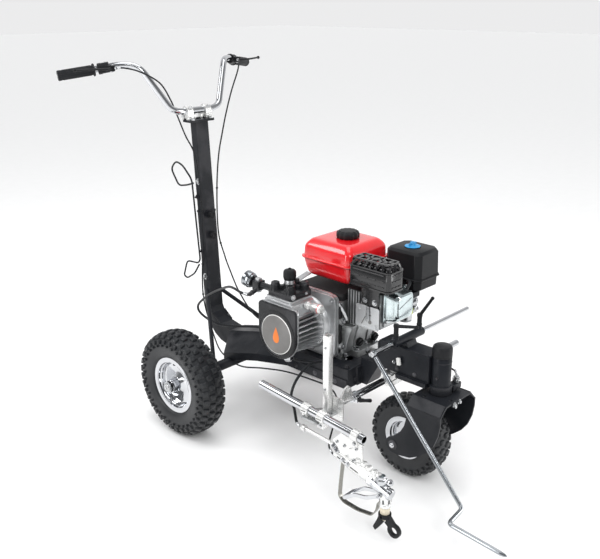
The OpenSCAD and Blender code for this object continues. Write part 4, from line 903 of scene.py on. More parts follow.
def engine_details():
    block = Shape()
    block.prism([(-432, 407), (-466, 407), (-460, 394), (-449, 352), (-446, 330), (-432, 322)], "x", -28, 106)
    block.prism([(-432, 330), (-441, 330), (-441, 316), (-432, 311)], "x", -40, 114)
    for x in (-30, 4, 62, 96):
        block.prism([(-432, 400), (-470, 404), (-462, 388), (-447, 330), (-432, 312)], "x", x, x + 5)
    for x, z, r in ((32, 337, 16), (105, 333, 15)):
        block.lathe((x, -430, z), FRONT, [(0, 0), (r, 0), (r, 13), (r - 2, 15), (0, 15)], 32)
    for z in (420, 340):
        block.lathe((-34, -427, z), FRONT, [(0, 0), (13, 0), (12, 12), (0, 12)], 28)
    for k in range(5):
        block.strap([(-41, -430, 352 + 16 * k), (-18, -437, 352 + 16 * k)], 4, 5, REAR)
    block.prism(rectangle(-426, 372, -300, 468, 20), "x", 117, 122)
    block.piece("engine_ribs", "cast_aluminium", bevel=1.2)
    # Painted shade: dark plates in the gaps between the pump flange and the crankcase, under the control
    # plate and between the tank and the crankcase.
    dark = Shape()
    dark.prism(rectangle(-434.5, 312, -234.5, 479.5, 16), "x", -43.8, -34)
    dark.block((-1.4, -525, 408.4), (97, -430, 411.4))
    dark.block((-14, -524, 521), (108, -440, 523))
    dark.loft([(-27, -426, 104, -242, 12, 470), (-27, -426, 104, -242, 12, 490),
        (-22, -421, 99, -247, 10, 497)], 4)
    dark.piece("engine_gap_shade", "painted_shade_black", bevel=0.5)
    caps = Shape()
    for x, z, r in ((32, 337, 13), (105, 333, 12.5)):
        caps.lathe((x, -444, z), FRONT, [(0, 0), (r, 0), (r + 1, 1.2), (r + 1, 9), (r - 1, 11), (0, 11)], 72,
            flutes=12, depth=1.2)
        caps.strap([(x - 9, -456, z - 3), (x + 9, -456, z + 3)], 5, 5, REAR)
    caps.piece("oil_caps", "black_plastic", bevel=0.6)
    bolts = Shape()
    for z in (420, 340):
        bolts.bolt((-34, -439, z), FRONT, 6, 6)
    for x, z in ((70, 320), (14, 318)):
        bolts.bolt((x, -441, z), FRONT, 5, 6)
    for x in (12, 96):
        bolts.bolt((x, -456, 319), UP, 7, 7)
    bolts.bolt((46, -468, 309), FRONT, 6, 8)
    bolts.bolt((-31, -448, 311), UP, 6, 7)
    bolts.bolt((-31, -448, 300), FRONT, 4, 7)
    bolts.piece("engine_bolts", "bright_steel")
    feet = Shape()
    for x in (-20, 100):
        for y in (-450, -262):
            feet.lathe((x, y, 300), DOWN, [(0, 0), (15, 0), (13, 5), (15, 10), (0, 10)], 28)
    feet.piece("engine_mounts", "grip_rubber")
    stay = Shape()
    stay.strap(rounded([(-50, -262, 503.4), (-50, -330, 503.4), (-48, -404, 503), (-46, -424, 480)], 12), 9,
        2.6, (0, 0.3, 1))
    stay.strap(rounded([(-49, -252, 503.5), (-30, -256, 512), (6, -262, 524)], 8), 22, 2.6, (-0.4, 0, 1))
    stay.strap(rounded([(-47, -424, 482), (-38, -437, 460), (-30, -444, 438), (-26, -446, 424)], 8), 8, 3,
        (-1, -0.4, 0))
    stay.piece("tank_stays", "machined_aluminium", bevel=0.5)


def rocker_cover():
    lo, hi = mm_box("rocker_cover")
    x0, x1, z0, z1 = lo.x, hi.x, lo.z, hi.z
    cover = Shape()
    levels = [(0.4, 13, hi.y), (0, 14, hi.y - 1), (0, 14, hi.y - 3), (1, 13, hi.y - 4.4),
        (6.6, 12, hi.y - 5.2), (8, 13, hi.y - 9), (10.5, 14, hi.y - 28), (13, 15, hi.y - 35),
        (17, 15, hi.y - 38.6), (23, 13, hi.y - 39.8)]
    cover.rings([[(x, y, z) for x, z in rectangle(x0 + i, z0 + i, x1 - i, z1 - i, r, 6)] for i, r,
        y in levels])
    cover.strap([(x0 + 24, lo.y + 0.8, z0 + 52), (x1 - 24, lo.y + 0.8, z0 + 74)], 3.4, 1.2, REAR)
    cover.strap([(x0 + 24, lo.y + 1, z1 - 18), (x1 - 24, lo.y + 1, z1 - 18)], 2, 1, REAR)
    cover.piece("rocker_cover_pressed", "rocker_silver", ["rocker_cover"], sharp=28)
    bolts = Shape()
    for x in (x0 + 9, x1 - 9):
        for z in (z0 + 9, z1 - 9):
            bolts.bolt((x, hi.y - 4, z), FRONT, 5, 6)
    bolts.piece("rocker_cover_bolts", "bright_steel")
    Shape().tube(rounded([(x1 - 20, hi.y - 16, z1 - 12), (x1 + 4, hi.y - 12, z1 + 4),
        (x1 + 26, hi.y + 14, z1 - 6), (x1 + 36, hi.y + 20, z1 - 20)], 14), 5, 16).piece("breather_hose",
        "grip_rubber")


def carburettor_details():
    bowl = Shape()
    bowl.lathe((134, -541, 402), UP, [(0, 0), (6, 0), (6, 3), (15, 4), (20.6, 8), (21, 10), (21, 28),
        (22.5, 29), (22.5, 33), (0, 33)], 40)
    bowl.bolt((134, -541, 403), DOWN, 6, 4)
    for x in (120, 148):
        bowl.bolt((x, -566.5, 474), FRONT, 4.4, 5)
    bowl.rod((134, -566, 452), (134, -578, 452), 6, 1)
    bowl.strap([(112, -570, 464), (156, -570, 466)], 8, 2.4, REAR)
    bowl.lathe((150, -568, 446), FRONT, [(0, 0), (7, 0), (7, 3), (4, 4), (4, 9), (0, 9)], 20)
    bowl.piece("carburettor_bowl", "bright_steel", bevel=0.4)
    Shape().prism(rectangle(116, 434, 130, 451, 3), "y", -572, -567).piece("fuel_tap_lever", "tag_yellow",
        bevel=0.8)
    feed = Shape()
    feed.tube(curved([(120, -446, 524), (124, -470, 508), (128, -500, 498), (128, -520, 488),
        (128, -524, 476)], 6), 4, 14)
    feed.block((112, -572, 484), (160, -520, 500))
    feed.piece("fuel_hose", "hose_black", bevel=1.5)
    arc = Shape()
    arc.strap(curved([(-19.9, -531, 459), (-19.9, -519, 460), (-19.9, -510, 452), (-19.9, -502, 438),
        (-19.9, -496, 427)], 6), 2.6, 1.0, LEFT)
    arc.lathe((-19.4, -527, 438), RIGHT, [(0, 0), (6, 0), (5.6, 1.5), (0, 1.5)], 24)
    arc.piece("control_arc", "badge_grey")
    plate = Shape()
    plate.prism(rectangle(-560, 416, -474, 486, 7), "x", -19.2, -18.6)
    plate.bolt((-19, -548, 430), RIGHT, 4.6, 4)
    plate.bolt((-19, -486, 472), RIGHT, 4.6, 4)
    plate.strap([(-20, -556, 421), (-20, -478, 421)], 4, 3, LEFT)
    plate.piece("control_plate_face", "machined_aluminium", bevel=0.5)


def throttle():
    lo, hi = mm_box("throttle_lever")
    y, z = -520.0, 446.0
    lever = Shape()
    outline = [(y - 7, z - 3), (y - 4, z - 7), (y + 4, z - 7), (y + 7, z - 3), (y + 6, z + 20),
        (y + 4.6, z + 40), (y + 3, z + 42), (y - 3, z + 42), (y - 4.6, z + 40), (y - 6, z + 20)]
    lever.prism(outline, "x", lo.x + 0.2, lo.x + 2.6)
    lever.lathe((hi.x, y, z), RIGHT, [(0, 0), (3, 0), (3, hi.x - lo.x - 5), (8, hi.x - lo.x - 5),
        (8, hi.x - lo.x - 3), (0, hi.x - lo.x - 3)], 28)
    lever.bolt((lo.x + 1.8, y, z), RIGHT, 4.6, 1.7, 1.4)
    lever.disc((lo.x + 1.4, y, z + 34), RIGHT, 2.6, 1.3, 16)
    lever.piece("throttle_arm", "bright_steel", ["throttle_lever"], body="throttle", bevel=0.3)


def recoil_details():
    x = mm_box("recoil_cover")[1].x
    grille = Shape()
    grille.lathe((x - 1.4, CRANK_Y, CRANK_Z), LEFT, [(0, 0), (24, 0), (24, 0.6), (20, 1.3), (0, 1.3)], 48)
    for turn in range(0, 360, 30):
        t = radians(turn + 15)
        grille.strap([(x - 1, CRANK_Y + r * cos(t), CRANK_Z + r * sin(t)) for r in (27, 64)], 5, 1.8, LEFT)
    grille.piece("recoil_grille", "recoil_red", bevel=0.5)
    bolts = Shape()
    for turn in (40, 160, 280):
        t = radians(turn)
        bolts.bolt((x - 14.4, CRANK_Y + 84 * cos(t), CRANK_Z + 84 * sin(t)), LEFT, 5, 6)
    bolts.piece("recoil_bolts", "bright_steel")
    grip = Shape()
    grip.tube(curved([(150, -431, 457), (158, -430, 458), (166, -426.5, 455), (174, -424, 452.4),
        (182, -421, 451)], 4), lambda t: 8.2 + 1.6 * sin(pi * t), 20)
    grip.rod((159, -404, 439), (166, -424, 452), 7.4, 1.5)
    grip.piece("starter_handle", "black_plastic", bevel=0.6)


# ---------- handlebar and column ----------
BAR = [(0, 244, 978), (70, 244, 978), (102, 250, 988), (170, 298, 1112), (190, 316, 1128), (232, 342, 1130),
    (292, 384, 1117), (390, 424.7, 1103)]


def mirrored(points, side):
    return [(side * x, y, z) for x, y, z in points]


def handlebar():
    path = mirrored(BAR[:0:-1], -1) + BAR[1:]
    Shape().tube(rounded(path, 24, 6), 11, 28).piece("handlebar_tube", "chrome", ["handlebar"])
    grips, ends = Shape(), Shape()
    for side in (-1, 1):
        a, b = Vector((side * 290, 383, 1117)), Vector((side * 395, 427.3, 1102.3))
        along = (b - a).normalized()
        length = (b - a).length
        grips.lathe(a, along, [(11.1, 0), (18.6, 0), (19.8, 1.2), (19.8, 4), (18.6, 5.4), (15, 6.4),
            (14.8, 9), (16, 11), (16, length - 16), (15.2, length - 14), (15.2, length - 11),
            (16.2, length - 9.6), (16.2, length - 2), (15, length - 0.4), (11.1, length - 0.3)], 144,
            flutes=18, depth=1.3)
        grips.disc(a + along * (length - 14), along, 13, 12.6, 32)
        ends.cap_screw(b - along * 1.6, along, 4.4, 2.4)
    grips.piece("grips_ribbed", "grip_rubber", ["grips"])
    ends.piece("grip_screws", "bright_steel")


def lever_perches():
    body, metal = Shape(), Shape()
    for side in (-1, 1):
        p = Vector((side * 262, 363, 1123))
        along = Vector((side * 60, 42, -13)).normalized()
        body.ring(p - along * 12, along, 11.05, 16.5, 24, 1.1, 1.4, 40)
        for level in (-6.1, 6.1):
            z = p.z + level
            body.rings([[(p.x + side * u, p.y + v, z + w * 2.9) for u, v in ((-9, -13), (9, -13), (10, -34),
                (6.5, -43), (0, -46), (-6.5, -43), (-9.5, -34))] for w in (-1, 1)])
        body.block(p + Vector((-8.5, -19, -9)), p + Vector((8.5, -10, 9)))
        body.lathe(p + Vector((-side * 8, -26, 0)), (-side, -0.4, 0), [(0, 0), (6, 0), (6, 5), (4, 6),
            (0, 6)], 20)
        body.lathe(p + along * 11, along, [(11.05, 0), (16, 0), (17.4, 1.2), (17.4, 12), (16, 13.4),
            (11.05, 13.4)], 40)
        metal.cap_screw(p + Vector((0, -36, 8.6)), UP, 4.6, 2.6)
        metal.bolt(p + Vector((0, -36, -8.8)), DOWN, 4, 3.2)
        metal.cap_screw(p + Vector((side * 2, 0, 15.2)), UP, 3.6, 2.6)
        metal.lathe(p + Vector((-side * 2.5, -37, 0)), (-side * 0.5, -0.86, 0),
            [(2.6, 0), (4.4, 0), (4.4, 3), (3.4, 3.4), (3.4, 9), (4.8, 9.4), (4.8, 13), (2.6, 13)], 20)
    body.piece("lever_perches", "black_plastic", ["lever_brackets"], bevel=0.8)
    metal.piece("lever_screws", "bright_steel")


def hand_lever(side, node, body):
    p = Vector((side * 262, 327, 1123))
    blade = Shape()
    path = curved([p + Vector((side * x, y, z)) for x, y, z in ((0, -2, 0), (16, -10, 0), (34, -15.5, 0),
        (60, -8, 0), (92, 6, 0), (120, 18, 0))], 5)
    blade.tube(path, lambda t: 5.2 - 1.2 * t, 16, flat=0.62)
    blade.ring(p + Vector((0, 0, -3)), UP, 0, 8, 6, 0.6, 0.6, 32)
    blade.ball(p + Vector((side * 120, 18, 0)), 5.6)
    blade.rod(p + Vector((0, 0, -9.8)), p + Vector((0, 0, 9.8)), 2.9, 0.4)
    blade.piece(node + "_blade", "black_plastic", [node], body=body)


def levers():
    for side, node in ((-1, "gun_lever"), (1, "lock_lever")):
        hand_lever(side, node, node + "_body")


def handlebar_clamp():
    blocks, plate, bolts = Shape(), Shape(), Shape()
    for side in (-1, 1):
        x = side * 38
        arch = [(227, 949), (261, 949), (261, 978)]
        arch += [(244 + 17 * cos(radians(t)), 978 + 17 * sin(radians(t))) for t in range(15, 180, 15)]
        arch += [(227, 978)]
        blocks.prism(arch, "x", x - 12, x + 12)
        blocks.prism(rectangle(224.4, 958, 263, 966, 2), "x", x - 13, x + 13)
        for dy in (-14, 14):
            bolts.cap_screw((x, 244 + dy, 987), UP, 4.8, 6)
        bolts.bolt((x, 220, 950), UP, 6, 6)
    plate.prism(rectangle(-52, 214, 52, 258, 6), "z", 942, 950)
    plate.prism(rectangle(-52, 238, 52, 250, 3), "z", 949.5, 954)
    for side in (-1, 1):
        bolts.bolt((side * 50.96, 252, 958), (side * 0.001, 0, 1), 5, 5)
    for x in (-14, 14):
        blocks.prism(rectangle(236, 949, 252, 967, 3), "x", x - 5, x + 5)
    blocks.piece("clamp_blocks", "gun_silver", ["handlebar_clamp"], bevel=1.2)
    plate.piece("clamp_plate", "frame_black", bevel=1.0)
    bolts.piece("clamp_bolts", "bright_steel")


def column_y(z):
    return 197 + (z - 353) * tan(radians(3.6))


def column_fittings():
    knobs, metal = Shape(), Shape()
    for z in (557, 630):
        y = column_y(z) - 15.4
        knobs.lathe((0, y, z), FRONT, [(0, 0), (6, 0), (6, 5), (12, 6), (14, 7.4), (14.2, 14), (12.6, 17),
            (8, 18), (6, 16.6), (0, 16.4)], 100, flutes=5, depth=4.2)
    knobs.piece("star_knobs", "black_plastic", ["column_bolts"])
    for z, half in ((743, 26.6), (410, 27.6)):
        for side in (-1, 1):
            metal.bolt((side * half, column_y(z), z), (side, 0, 0), 8, 5.6)
    metal.piece("column_screws", "bright_steel")
    trims = Shape()
    lip = column_y(642)
    for x in (-28.2, 28.2):
        trims.block((x - 1, lip - 16, 636), (x + 1, lip + 16, 643))
    for y in (lip - 16, lip + 14.4):
        trims.block((-28.6, y, 636), (28.6, y + 1.6, 643))
    trims.piece("column_collar", "frame_black", bevel=0.6)
    x = -38
    wire = [(x, 232, 738), (x, 268, 726), (x, 312, 718), (x, 350, 772), (x, 322, 802), (x, 286, 792),
        (x, 240, 750), (x, 214, 470), (x, 226, 456), (x, 286, 452), (x, 308, 392), (x, 290, 386),
        (x, 248, 412), (x, 220, 452)]
    hanger = Shape()
    hanger.tube(rounded(wire, 16, 5), 3, 14)
    for z in (500, 690):
        hanger.rod((x, column_y(z) + 8, z), (-27, column_y(z) + 8, z), 3.4, 0.5)
        hanger.lathe((-27.4, column_y(z) + 8, z), RIGHT, [(0, 0), (8, 0), (8, 2), (5, 3.4), (0, 3.4)], 24)
    hanger.piece("hose_hanger_wire", "frame_black", ["hose_hanger"])


# ---------- frame and caster ----------
def bead(shape, a, b, r=2.2):
    """A lumpy weld bead from a to b."""
    a, b = Vector(a), Vector(b)
    count = max(int((b - a).length / 2.2), 4)
    path = [a + (b - a) * k / count for k in range(count + 1)]
    shape.tube(path, lambda t: r * (0.85 + 0.3 * (sin(t * count * 1.7) > 0)), 8)


def frame_fittings():
    welds = Shape()
    for side in (-1, 1):
        bead(welds, (side * 31.6, -571, 326), (side * 31.6, -571, 396))
        bead(welds, (side * 28, 169, 282), (side * 28, 132, 254))
        bead(welds, (side * 76, -12, 190), (side * 76, 14, 190))
        bead(welds, (side * 84, 6, 189), (side * 70, 10, 189))
        bead(welds, (side * 31, -506, 300.6), (side * 31, -506, 322))
    bead(welds, (-30, -739.6, 400), (-24, -748, 400))
    bead(welds, (-51, -505.4, 301), (51, -505.4, 301))
    welds.piece("frame_welds", "frame_black")
    bolts = Shape()
    for x in (-72, 72):
        for y in (-280, -488):
            bolts.bolt((x, y, 300.4), UP, 7, 6)
    for y in (-300, -380, -460):
        bolts.bolt((-94.2, y, 254), RIGHT, 6, 4)
    for side in (-1, 1):
        for y in (-700, -640):
            bolts.bolt((side * 31.2, y, 332), (side, 0, 0), 5, 4)
    bolts.piece("frame_bolts", "head_black")
    latch, head = Shape(), Shape()
    latch.rod((-31, -627, 349), (-40, -649, 360.5), 3.4, 0.5)
    latch.lathe((-31, -627, 349), (-0.3, -0.82, 0.5), [(0, 0), (7, 0), (7, 2.4), (5.6, 3), (5.6, 7), (0, 7)],
        6)
    latch.piece("arm_stud", "bright_steel")
    head.strap([(-40, -648, 370), (-40, -652, 349)], 11, 7, RIGHT)
    head.piece("arm_stud_head", "white_paint", bevel=1)
    trims = Shape()
    for x in (-90, 86):
        trims.prism(rectangle(x, -506.6, x + 4, -268, 1.5), "z", 267, 300.6)
    trims.strap([(-60, -506, 262), (60, -506, 262)], 10, 4, FRONT)
    trims.piece("tray_edges", "frame_black", bevel=0.8)


def axle_nuts():
    lo, hi = mm_box("rear_axle")
    z = (lo.z + hi.z) / 2
    ends = Shape()
    ends.tube([(lo.x + 2, 0, z), (hi.x - 2, 0, z)], 12.3, 40)
    for side, x in ((-1, lo.x), (1, hi.x)):
        inner = x - side * 6.2
        ends.lathe((inner - side * 1.2, 0, z), (side, 0, 0), [(12.4, 0), (18, 0), (18, 2.2), (12.4, 2.2)], 40)
        ends.lathe((inner + side * 1, 0, z), (side, 0, 0), [(12.4, -4), (15, -4), (16, -3), (16, 2.4),
            (14.6, 4), (12.4, 4)], 6)
        ends.lathe((x - side * 4, 0, z), (side, 0, 0), [(0, 0), (12.5, 0), (12.5, 2.6), (11, 3.9), (5, 3.9),
            (4, 1.5), (0, 1.5)], 36)
    ends.piece("rear_axle_shaft", "bright_steel", ["rear_axle"])


def stem():
    lo, hi = mm_box("stem_cap")
    x, y = (lo.x + hi.x) / 2, (lo.y + hi.y) / 2
    r = (hi.x - lo.x) / 2
    base = lo.z
    cap = Shape()
    cap.lathe((x, y, base), UP, [(0, 0.3), (r - 1, 0.3), (r, 1.2), (r, 24), (r - 1, 27.5), (r - 2.4, 30),
        (r - 3.6, 31.4), (r - 5, 32.2), (0, hi.z - base - 0.1)], 64)
    cap.piece("stem_cap_turned", "black_plastic", ["stem_cap"])
    rings = Shape()
    rings.ring((x, y, 309), UP, 26, 33, 7, 1.4, 1, 56)
    rings.lathe((x, y, 385), UP, [(26, 0), (28.2, 0), (28.2, 2), (26, 2)], 56)
    rings.piece("stem_rings", "frame_black")
    grease = Shape()
    grease.lathe((x - 27, y - 6, 345), (-1, -0.2, 0), [(0, 0), (4, 0), (4, 2), (2.4, 3), (2.4, 6), (3, 7),
        (2, 9), (0, 9)], 16)
    grease.bolt((-36, -700, 318.6), DOWN, 5, 5)
    grease.piece("stem_nipple", "head_black")


def caster_fittings():
    plates, bolts = Shape(), Shape()
    for side in (-1, 1):
        inner, outer = side * 62.2, side * 86.4
        plates.rings([[(outer, y, 264.2), (inner, y, 289.4), (inner, y, 290.4), (outer, y, 265.2)]
            for y in (-826, -722)])
    plates.prism(rectangle(-34, -830.6, 8, -825.5, 1.5), "z", 277, 290)
    plates.piece("fork_cheeks", "frame_black", body="caster", bevel=0.7)
    for x in (-26, -1):
        bolts.bolt((x, -830.4, 284), FRONT, 5, 6)
    bolts.lathe((-13, -828, 277), DOWN, [(0, 0), (4, 0), (4, 8), (2.4, 10), (0, 10)], 16)
    bolts.piece("fork_screws", "bright_steel", body="caster")
    lo, hi = mm_box("front_axle")
    y, z = (lo.y + hi.y) / 2, (lo.z + hi.z) / 2
    axle, washers = Shape(), Shape()
    axle.rod((lo.x + 6, y, z), (hi.x - 6, y, z), 5.9, 0.5)
    for side in (-1, 1):
        axle.ring((side * 42, y, z), (side, 0, 0), 6, 10, 39.8, 0.6, 0.6, 32)
        washers.lathe((side * 87.1, y, z), (side, 0, 0), [(0, 0), (13.5, 0), (14.5, 0.8), (14.5, 1.6),
            (0, 1.6)], 32)
        washers.lathe((side * 88.4, y, z), (side, 0, 0), [(0, 0), (11, 0), (11, 2.6), (9.6, 3.4), (0, 3.4)],
            6)
        axle.ball((side * (hi.x - 9.2), y, z), 9)
    washers.piece("front_axle_washers", "head_black", body="caster")
    axle.piece("front_axle_nuts", "chrome", ["front_axle"], body="caster")
    lo, hi = mm_box("lock_pin")
    x, y = (lo.x + hi.x) / 2, (lo.y + hi.y) / 2
    pin = Shape()
    pin.lathe((x, y, lo.z), UP, [(0, 0), (3.6, 0), (4.9, 1.6), (4.9, hi.z - lo.z - 4.2),
        (7.6, hi.z - lo.z - 4), (8, hi.z - lo.z - 3.4), (8, hi.z - lo.z - 0.8), (7, hi.z - lo.z),
        (0, hi.z - lo.z)], 32)
    pin.piece("lock_pin_turned", "bright_steel", ["lock_pin"], body="lock_pin_body")
    spring = Shape()
    spring.tube([(x + 9.6 * cos(t), y + 9.6 * sin(t), 312.6 + 12.4 * t / (10 * pi))
        for t in [k * pi / 8 for k in range(81)]], 0.8, 8)
    spring.piece("lock_spring", "bright_steel")


# ---------- pointer ----------
POINTER_Y, POINTER_Z = -652, 424


def pointer():
    rod = Shape()
    path = rounded([(-158, -659, 415), (-158, -957, 80), (-223, -959, 70), (-223, -1100, 60.6),
        (-223, -1108, 60)], 12, 7)
    rod.tube(path, 6, 24)
    rod.tube([(-223, -1107, 60), (-223, -1118, 59.9), (-223, -1124, 59.9), (-223, -1125.9, 59.9)],
        lambda t: (6.0, 4.6, 2.6, 1.0)[round(3 * t)], 20)
    rod.ring((-164, POINTER_Y, POINTER_Z), LEFT, 6.6, 9.4, 12, 0.6, 0.8, 32)
    rod.piece("pointer_wire", "rod_steel", ["pointer_rod"], body="pointer_arm")
    lo, hi = mm_box("pointer_bar")
    y, z = (lo.y + hi.y) / 2, (lo.z + hi.z) / 2
    bar = Shape()
    bar.lathe((lo.x, y, z), LEFT, [(0, 0), (5, 0), (5, 0.4), (8, 0.6), (8.4, 1.2), (8.4, 3.8), (6.5, 4.2),
        (6.5, hi.x - lo.x - 1), (5.6, hi.x - lo.x), (3.6, hi.x - lo.x), (3.4, hi.x - lo.x - 10),
        (0, hi.x - lo.x - 10)], 36)
    bar.piece("pointer_cross_bar", "chrome", ["pointer_bar"], body="pointer_slider")
    sleeve = Shape()
    sleeve.ring((-73, POINTER_Y, POINTER_Z), LEFT, 6.6, 13, 136, 1.4, 1.4, 44)
    sleeve.prism([(-668, 400), (-636, 400), (-643, 418), (-661, 418)], "x", -22, 22)
    for x in (-60, 50):
        sleeve.lathe((x, POINTER_Y, 432), UP, [(4.1, 0), (8, 0), (8, 9.6), (7, 11), (4.1, 11)], 28)
    sleeve.piece("pointer_sleeve", "frame_black", ["pointer_bracket"], bevel=0.8)


def clamp_handle(node, body, x, tip):
    """Adjustable clamping handle: threaded post, hub and a tapered arm."""
    post = Shape()
    top = Vector((x, POINTER_Y, 474))
    post.lathe((x, POINTER_Y, 432.4), UP, [(0, 0), (3.9, 0), (3.9, 11), (7.4, 11.4), (8, 12.4), (8, 17),
        (7, 18.4), (7, 36), (8.2, 40), (8.2, 45), (6.6, 48), (0, 48.4)], 32)
    end = top + Vector(tip)
    post.tube([top, top + Vector(tip) * 0.1, top + Vector(tip) * 0.5, end - Vector(tip).normalized() * 4,
        end], lambda t: 5.6 - 1.6 * t if t < 0.8 else 4.6 + 1.0 * t, 18)
    post.ball(end, 5.5)
    post.piece(node + "_handle", "black_plastic", [node], body=body)


def clamp_handles():
    clamp_handle("clamp_lever_near", "near_clamp", -60, (0, -68, 16))
    clamp_handle("clamp_lever_far", "far_clamp", 50, (0, -40, 62))


# ---------- cables and hose ----------
CURVE_STEPS = 9
HOSE = [(-176, -182, 478), (-180, -150, 479), (-168, -106, 478), (-148, -58, 466), (-118, 12, 434),
    (-90, 102, 387), (-72, 170, 342), (-63, 206, 309), (-60, 203, 286), (-58, 165, 270), (-54, 110, 262),
    (-46, 45, 272), (-42, -20, 288), (-42, -80, 303), (-56, -140, 311), (-80, -190, 300), (-104, -240, 288),
    (-112, -320, 284), (-108, -400, 300), (-130, -445, 326), (-190, -445, 334), (-250, -452, 310),
    (-288, -468, 280), (-297, -488, 254), (-304, -500, 236), (-312, -514, 223), (-314, -532.8, 219)]
GUN_CABLE = [(-252, 318, 1123), (-240, 290, 1124), (-200, 266, 1111), (-134, 260, 1074), (-90, 268, 1020),
    (-66, 266, 965), (-56, 240, 900), (-42, 214, 840), (-35, 204, 750), (-34, 200, 640), (-35, 200, 520),
    (-39, 204, 430), (-39, 206, 360), (-39, 196, 300), (-44, 160, 230), (-52, 110, 165), (-58, 40, 146),
    (-62, -20, 146), (-70, -120, 176), (-78, -240, 206), (-88, -360, 222), (-104, -450, 232),
    (-150, -520, 228), (-220, -568, 204), (-290, -612, 184), (-314, -654, 178)]
LOCK_CABLE = [(252, 318, 1123), (238, 292, 1122), (205, 264, 1090), (150, 236, 1031), (100, 208, 970),
    (66, 192, 910), (46, 196, 820), (37, 200, 700), (34, 196, 560), (24, 158, 490), (8, 112, 445),
    (2, 55, 373), (8, -20, 306), (34, -90, 302), (72, -150, 284), (99, -215, 264), (100, -300, 254),
    (100, -400, 252), (102, -490, 260), (88, -545, 286), (66, -600, 322), (52, -680, 345), (48, -740, 350),
    (48, -778, 344), (48, -786, 334)]


def ferrule(shape, path, index, r):
    """A crimped sleeve on a cable at one point of its path."""
    heading = (path[index + 1] - path[index - 1]).normalized()
    shape.lathe(path[index] - heading * 9, heading, [(0, 0), (r, 0), (r + 0.5, 1), (r + 0.5, 7), (r, 8),
        (r, 16), (0, 17)], 18)


def cables():
    hose, wire, lock = (curved(route, CURVE_STEPS) for route in (HOSE, GUN_CABLE, LOCK_CABLE))
    tube = Shape().tube(hose, 4, 14).piece("paint_hose_tube", "hose_black", ["paint_hose"], body=None)
    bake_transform(tube)
    line = Shape().tube(wire, 2.5, 12).piece("gun_cable_sheath", "hose_black", ["gun_cable"], body=None)
    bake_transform(line)
    Shape().tube(lock, 2.5, 12).piece("lock_cable_sheath", "hose_black", ["lock_cable"])
    ends = Shape()
    for path, index, r in ((hose, 4, 5), (wire, 4, 3.2), (lock, 4, 3.2), (lock, len(lock) - 6, 3.2)):
        ferrule(ends, path, index, r)
    ends.piece("cable_ferrules", "bright_steel")
    far = Shape()
    ferrule(far, hose, len(hose) - 6, 5)
    ferrule(far, wire, len(wire) - 6, 3.2)
    far.piece("gun_ferrules", "bright_steel", body="gun_carriage")
    ties = Shape()
    for path, spots in ((wire, (78, 96, 110)), (lock, (62, 76))):
        for i in spots:
            heading = (path[i + 1] - path[i - 1]).normalized()
            ties.lathe(path[i] - heading * 2, heading, [(2, 0), (4, 0), (4, 4), (2, 4)], 16)
    ties.piece("cable_ties", "black_plastic")


# ---------- spray gun ----------
GUN_X, TIP_Y = -314, -826
CARRIER_BACK, CARRIER_FRONT = Vector((GUN_X, -377, 296)), Vector((GUN_X, -752, 266))
CARRIER_WAY = (CARRIER_FRONT - CARRIER_BACK).normalized()
BAR_Y, BAR_Z = -597, 280


def gun_carrier():
    back, front, along = CARRIER_BACK, CARRIER_FRONT, CARRIER_WAY
    length = (front - back).length
    tube, blocks, plate, bolts = Shape(), Shape(), Shape(), Shape()
    tube.lathe(back, along, [(9.8, 0), (11, 0), (12, 0.8), (12, length - 0.8), (11.2, length), (9.8, length),
        (9.6, length - 30), (0, length - 30), (0, 30), (9.6, 30)], 48)
    tube.piece("carrier_tube", "chrome", ["gun_carrier"], body="gun_carriage")
    p = back.lerp(front, 0.93)
    blocks.ring(p - along * 11, along, 12.05, 15.6, 22, 1, 1, 40)
    blocks.prism([(p.y - 9, p.z - 28), (p.y + 9, p.z - 28), (p.y + 9, p.z - 13), (p.y - 9, p.z - 13)], "x",
        -322, -306)
    bolts.bolt((-322, p.y, p.z - 20), RIGHT, 4.6, 3.4)
    bolts.bolt((-306, p.y, p.z - 20), LEFT, 4.6, 3.4)
    blocks.piece("carrier_clamps", "gun_silver", body="gun_carriage", bevel=1)
    plate.prism([(-745, 244), (-706, 226), (-700, 178), (-744, 178), (-752, 196)], "x", -317, -311)
    plate.prism([(-745, 244), (-752, 250), (-676, 258), (-647, 226), (-664, 214), (-676, 196), (-700, 178),
        (-706, 222)], "x", -317, -311)
    plate.piece("hanger_plate", "gun_silver", body="gun_carriage", bevel=0.8)
    for y, z in ((-730, 232), (-690, 226), (-664, 228), (-722, 196)):
        bolts.cap_screw((-317.2, y, z), RIGHT, 4.6, 3)
        bolts.bolt((-310.8, y, z), LEFT, 4.2, 3)
    bolts.piece("carrier_bolts", "bright_steel", body="gun_carriage")


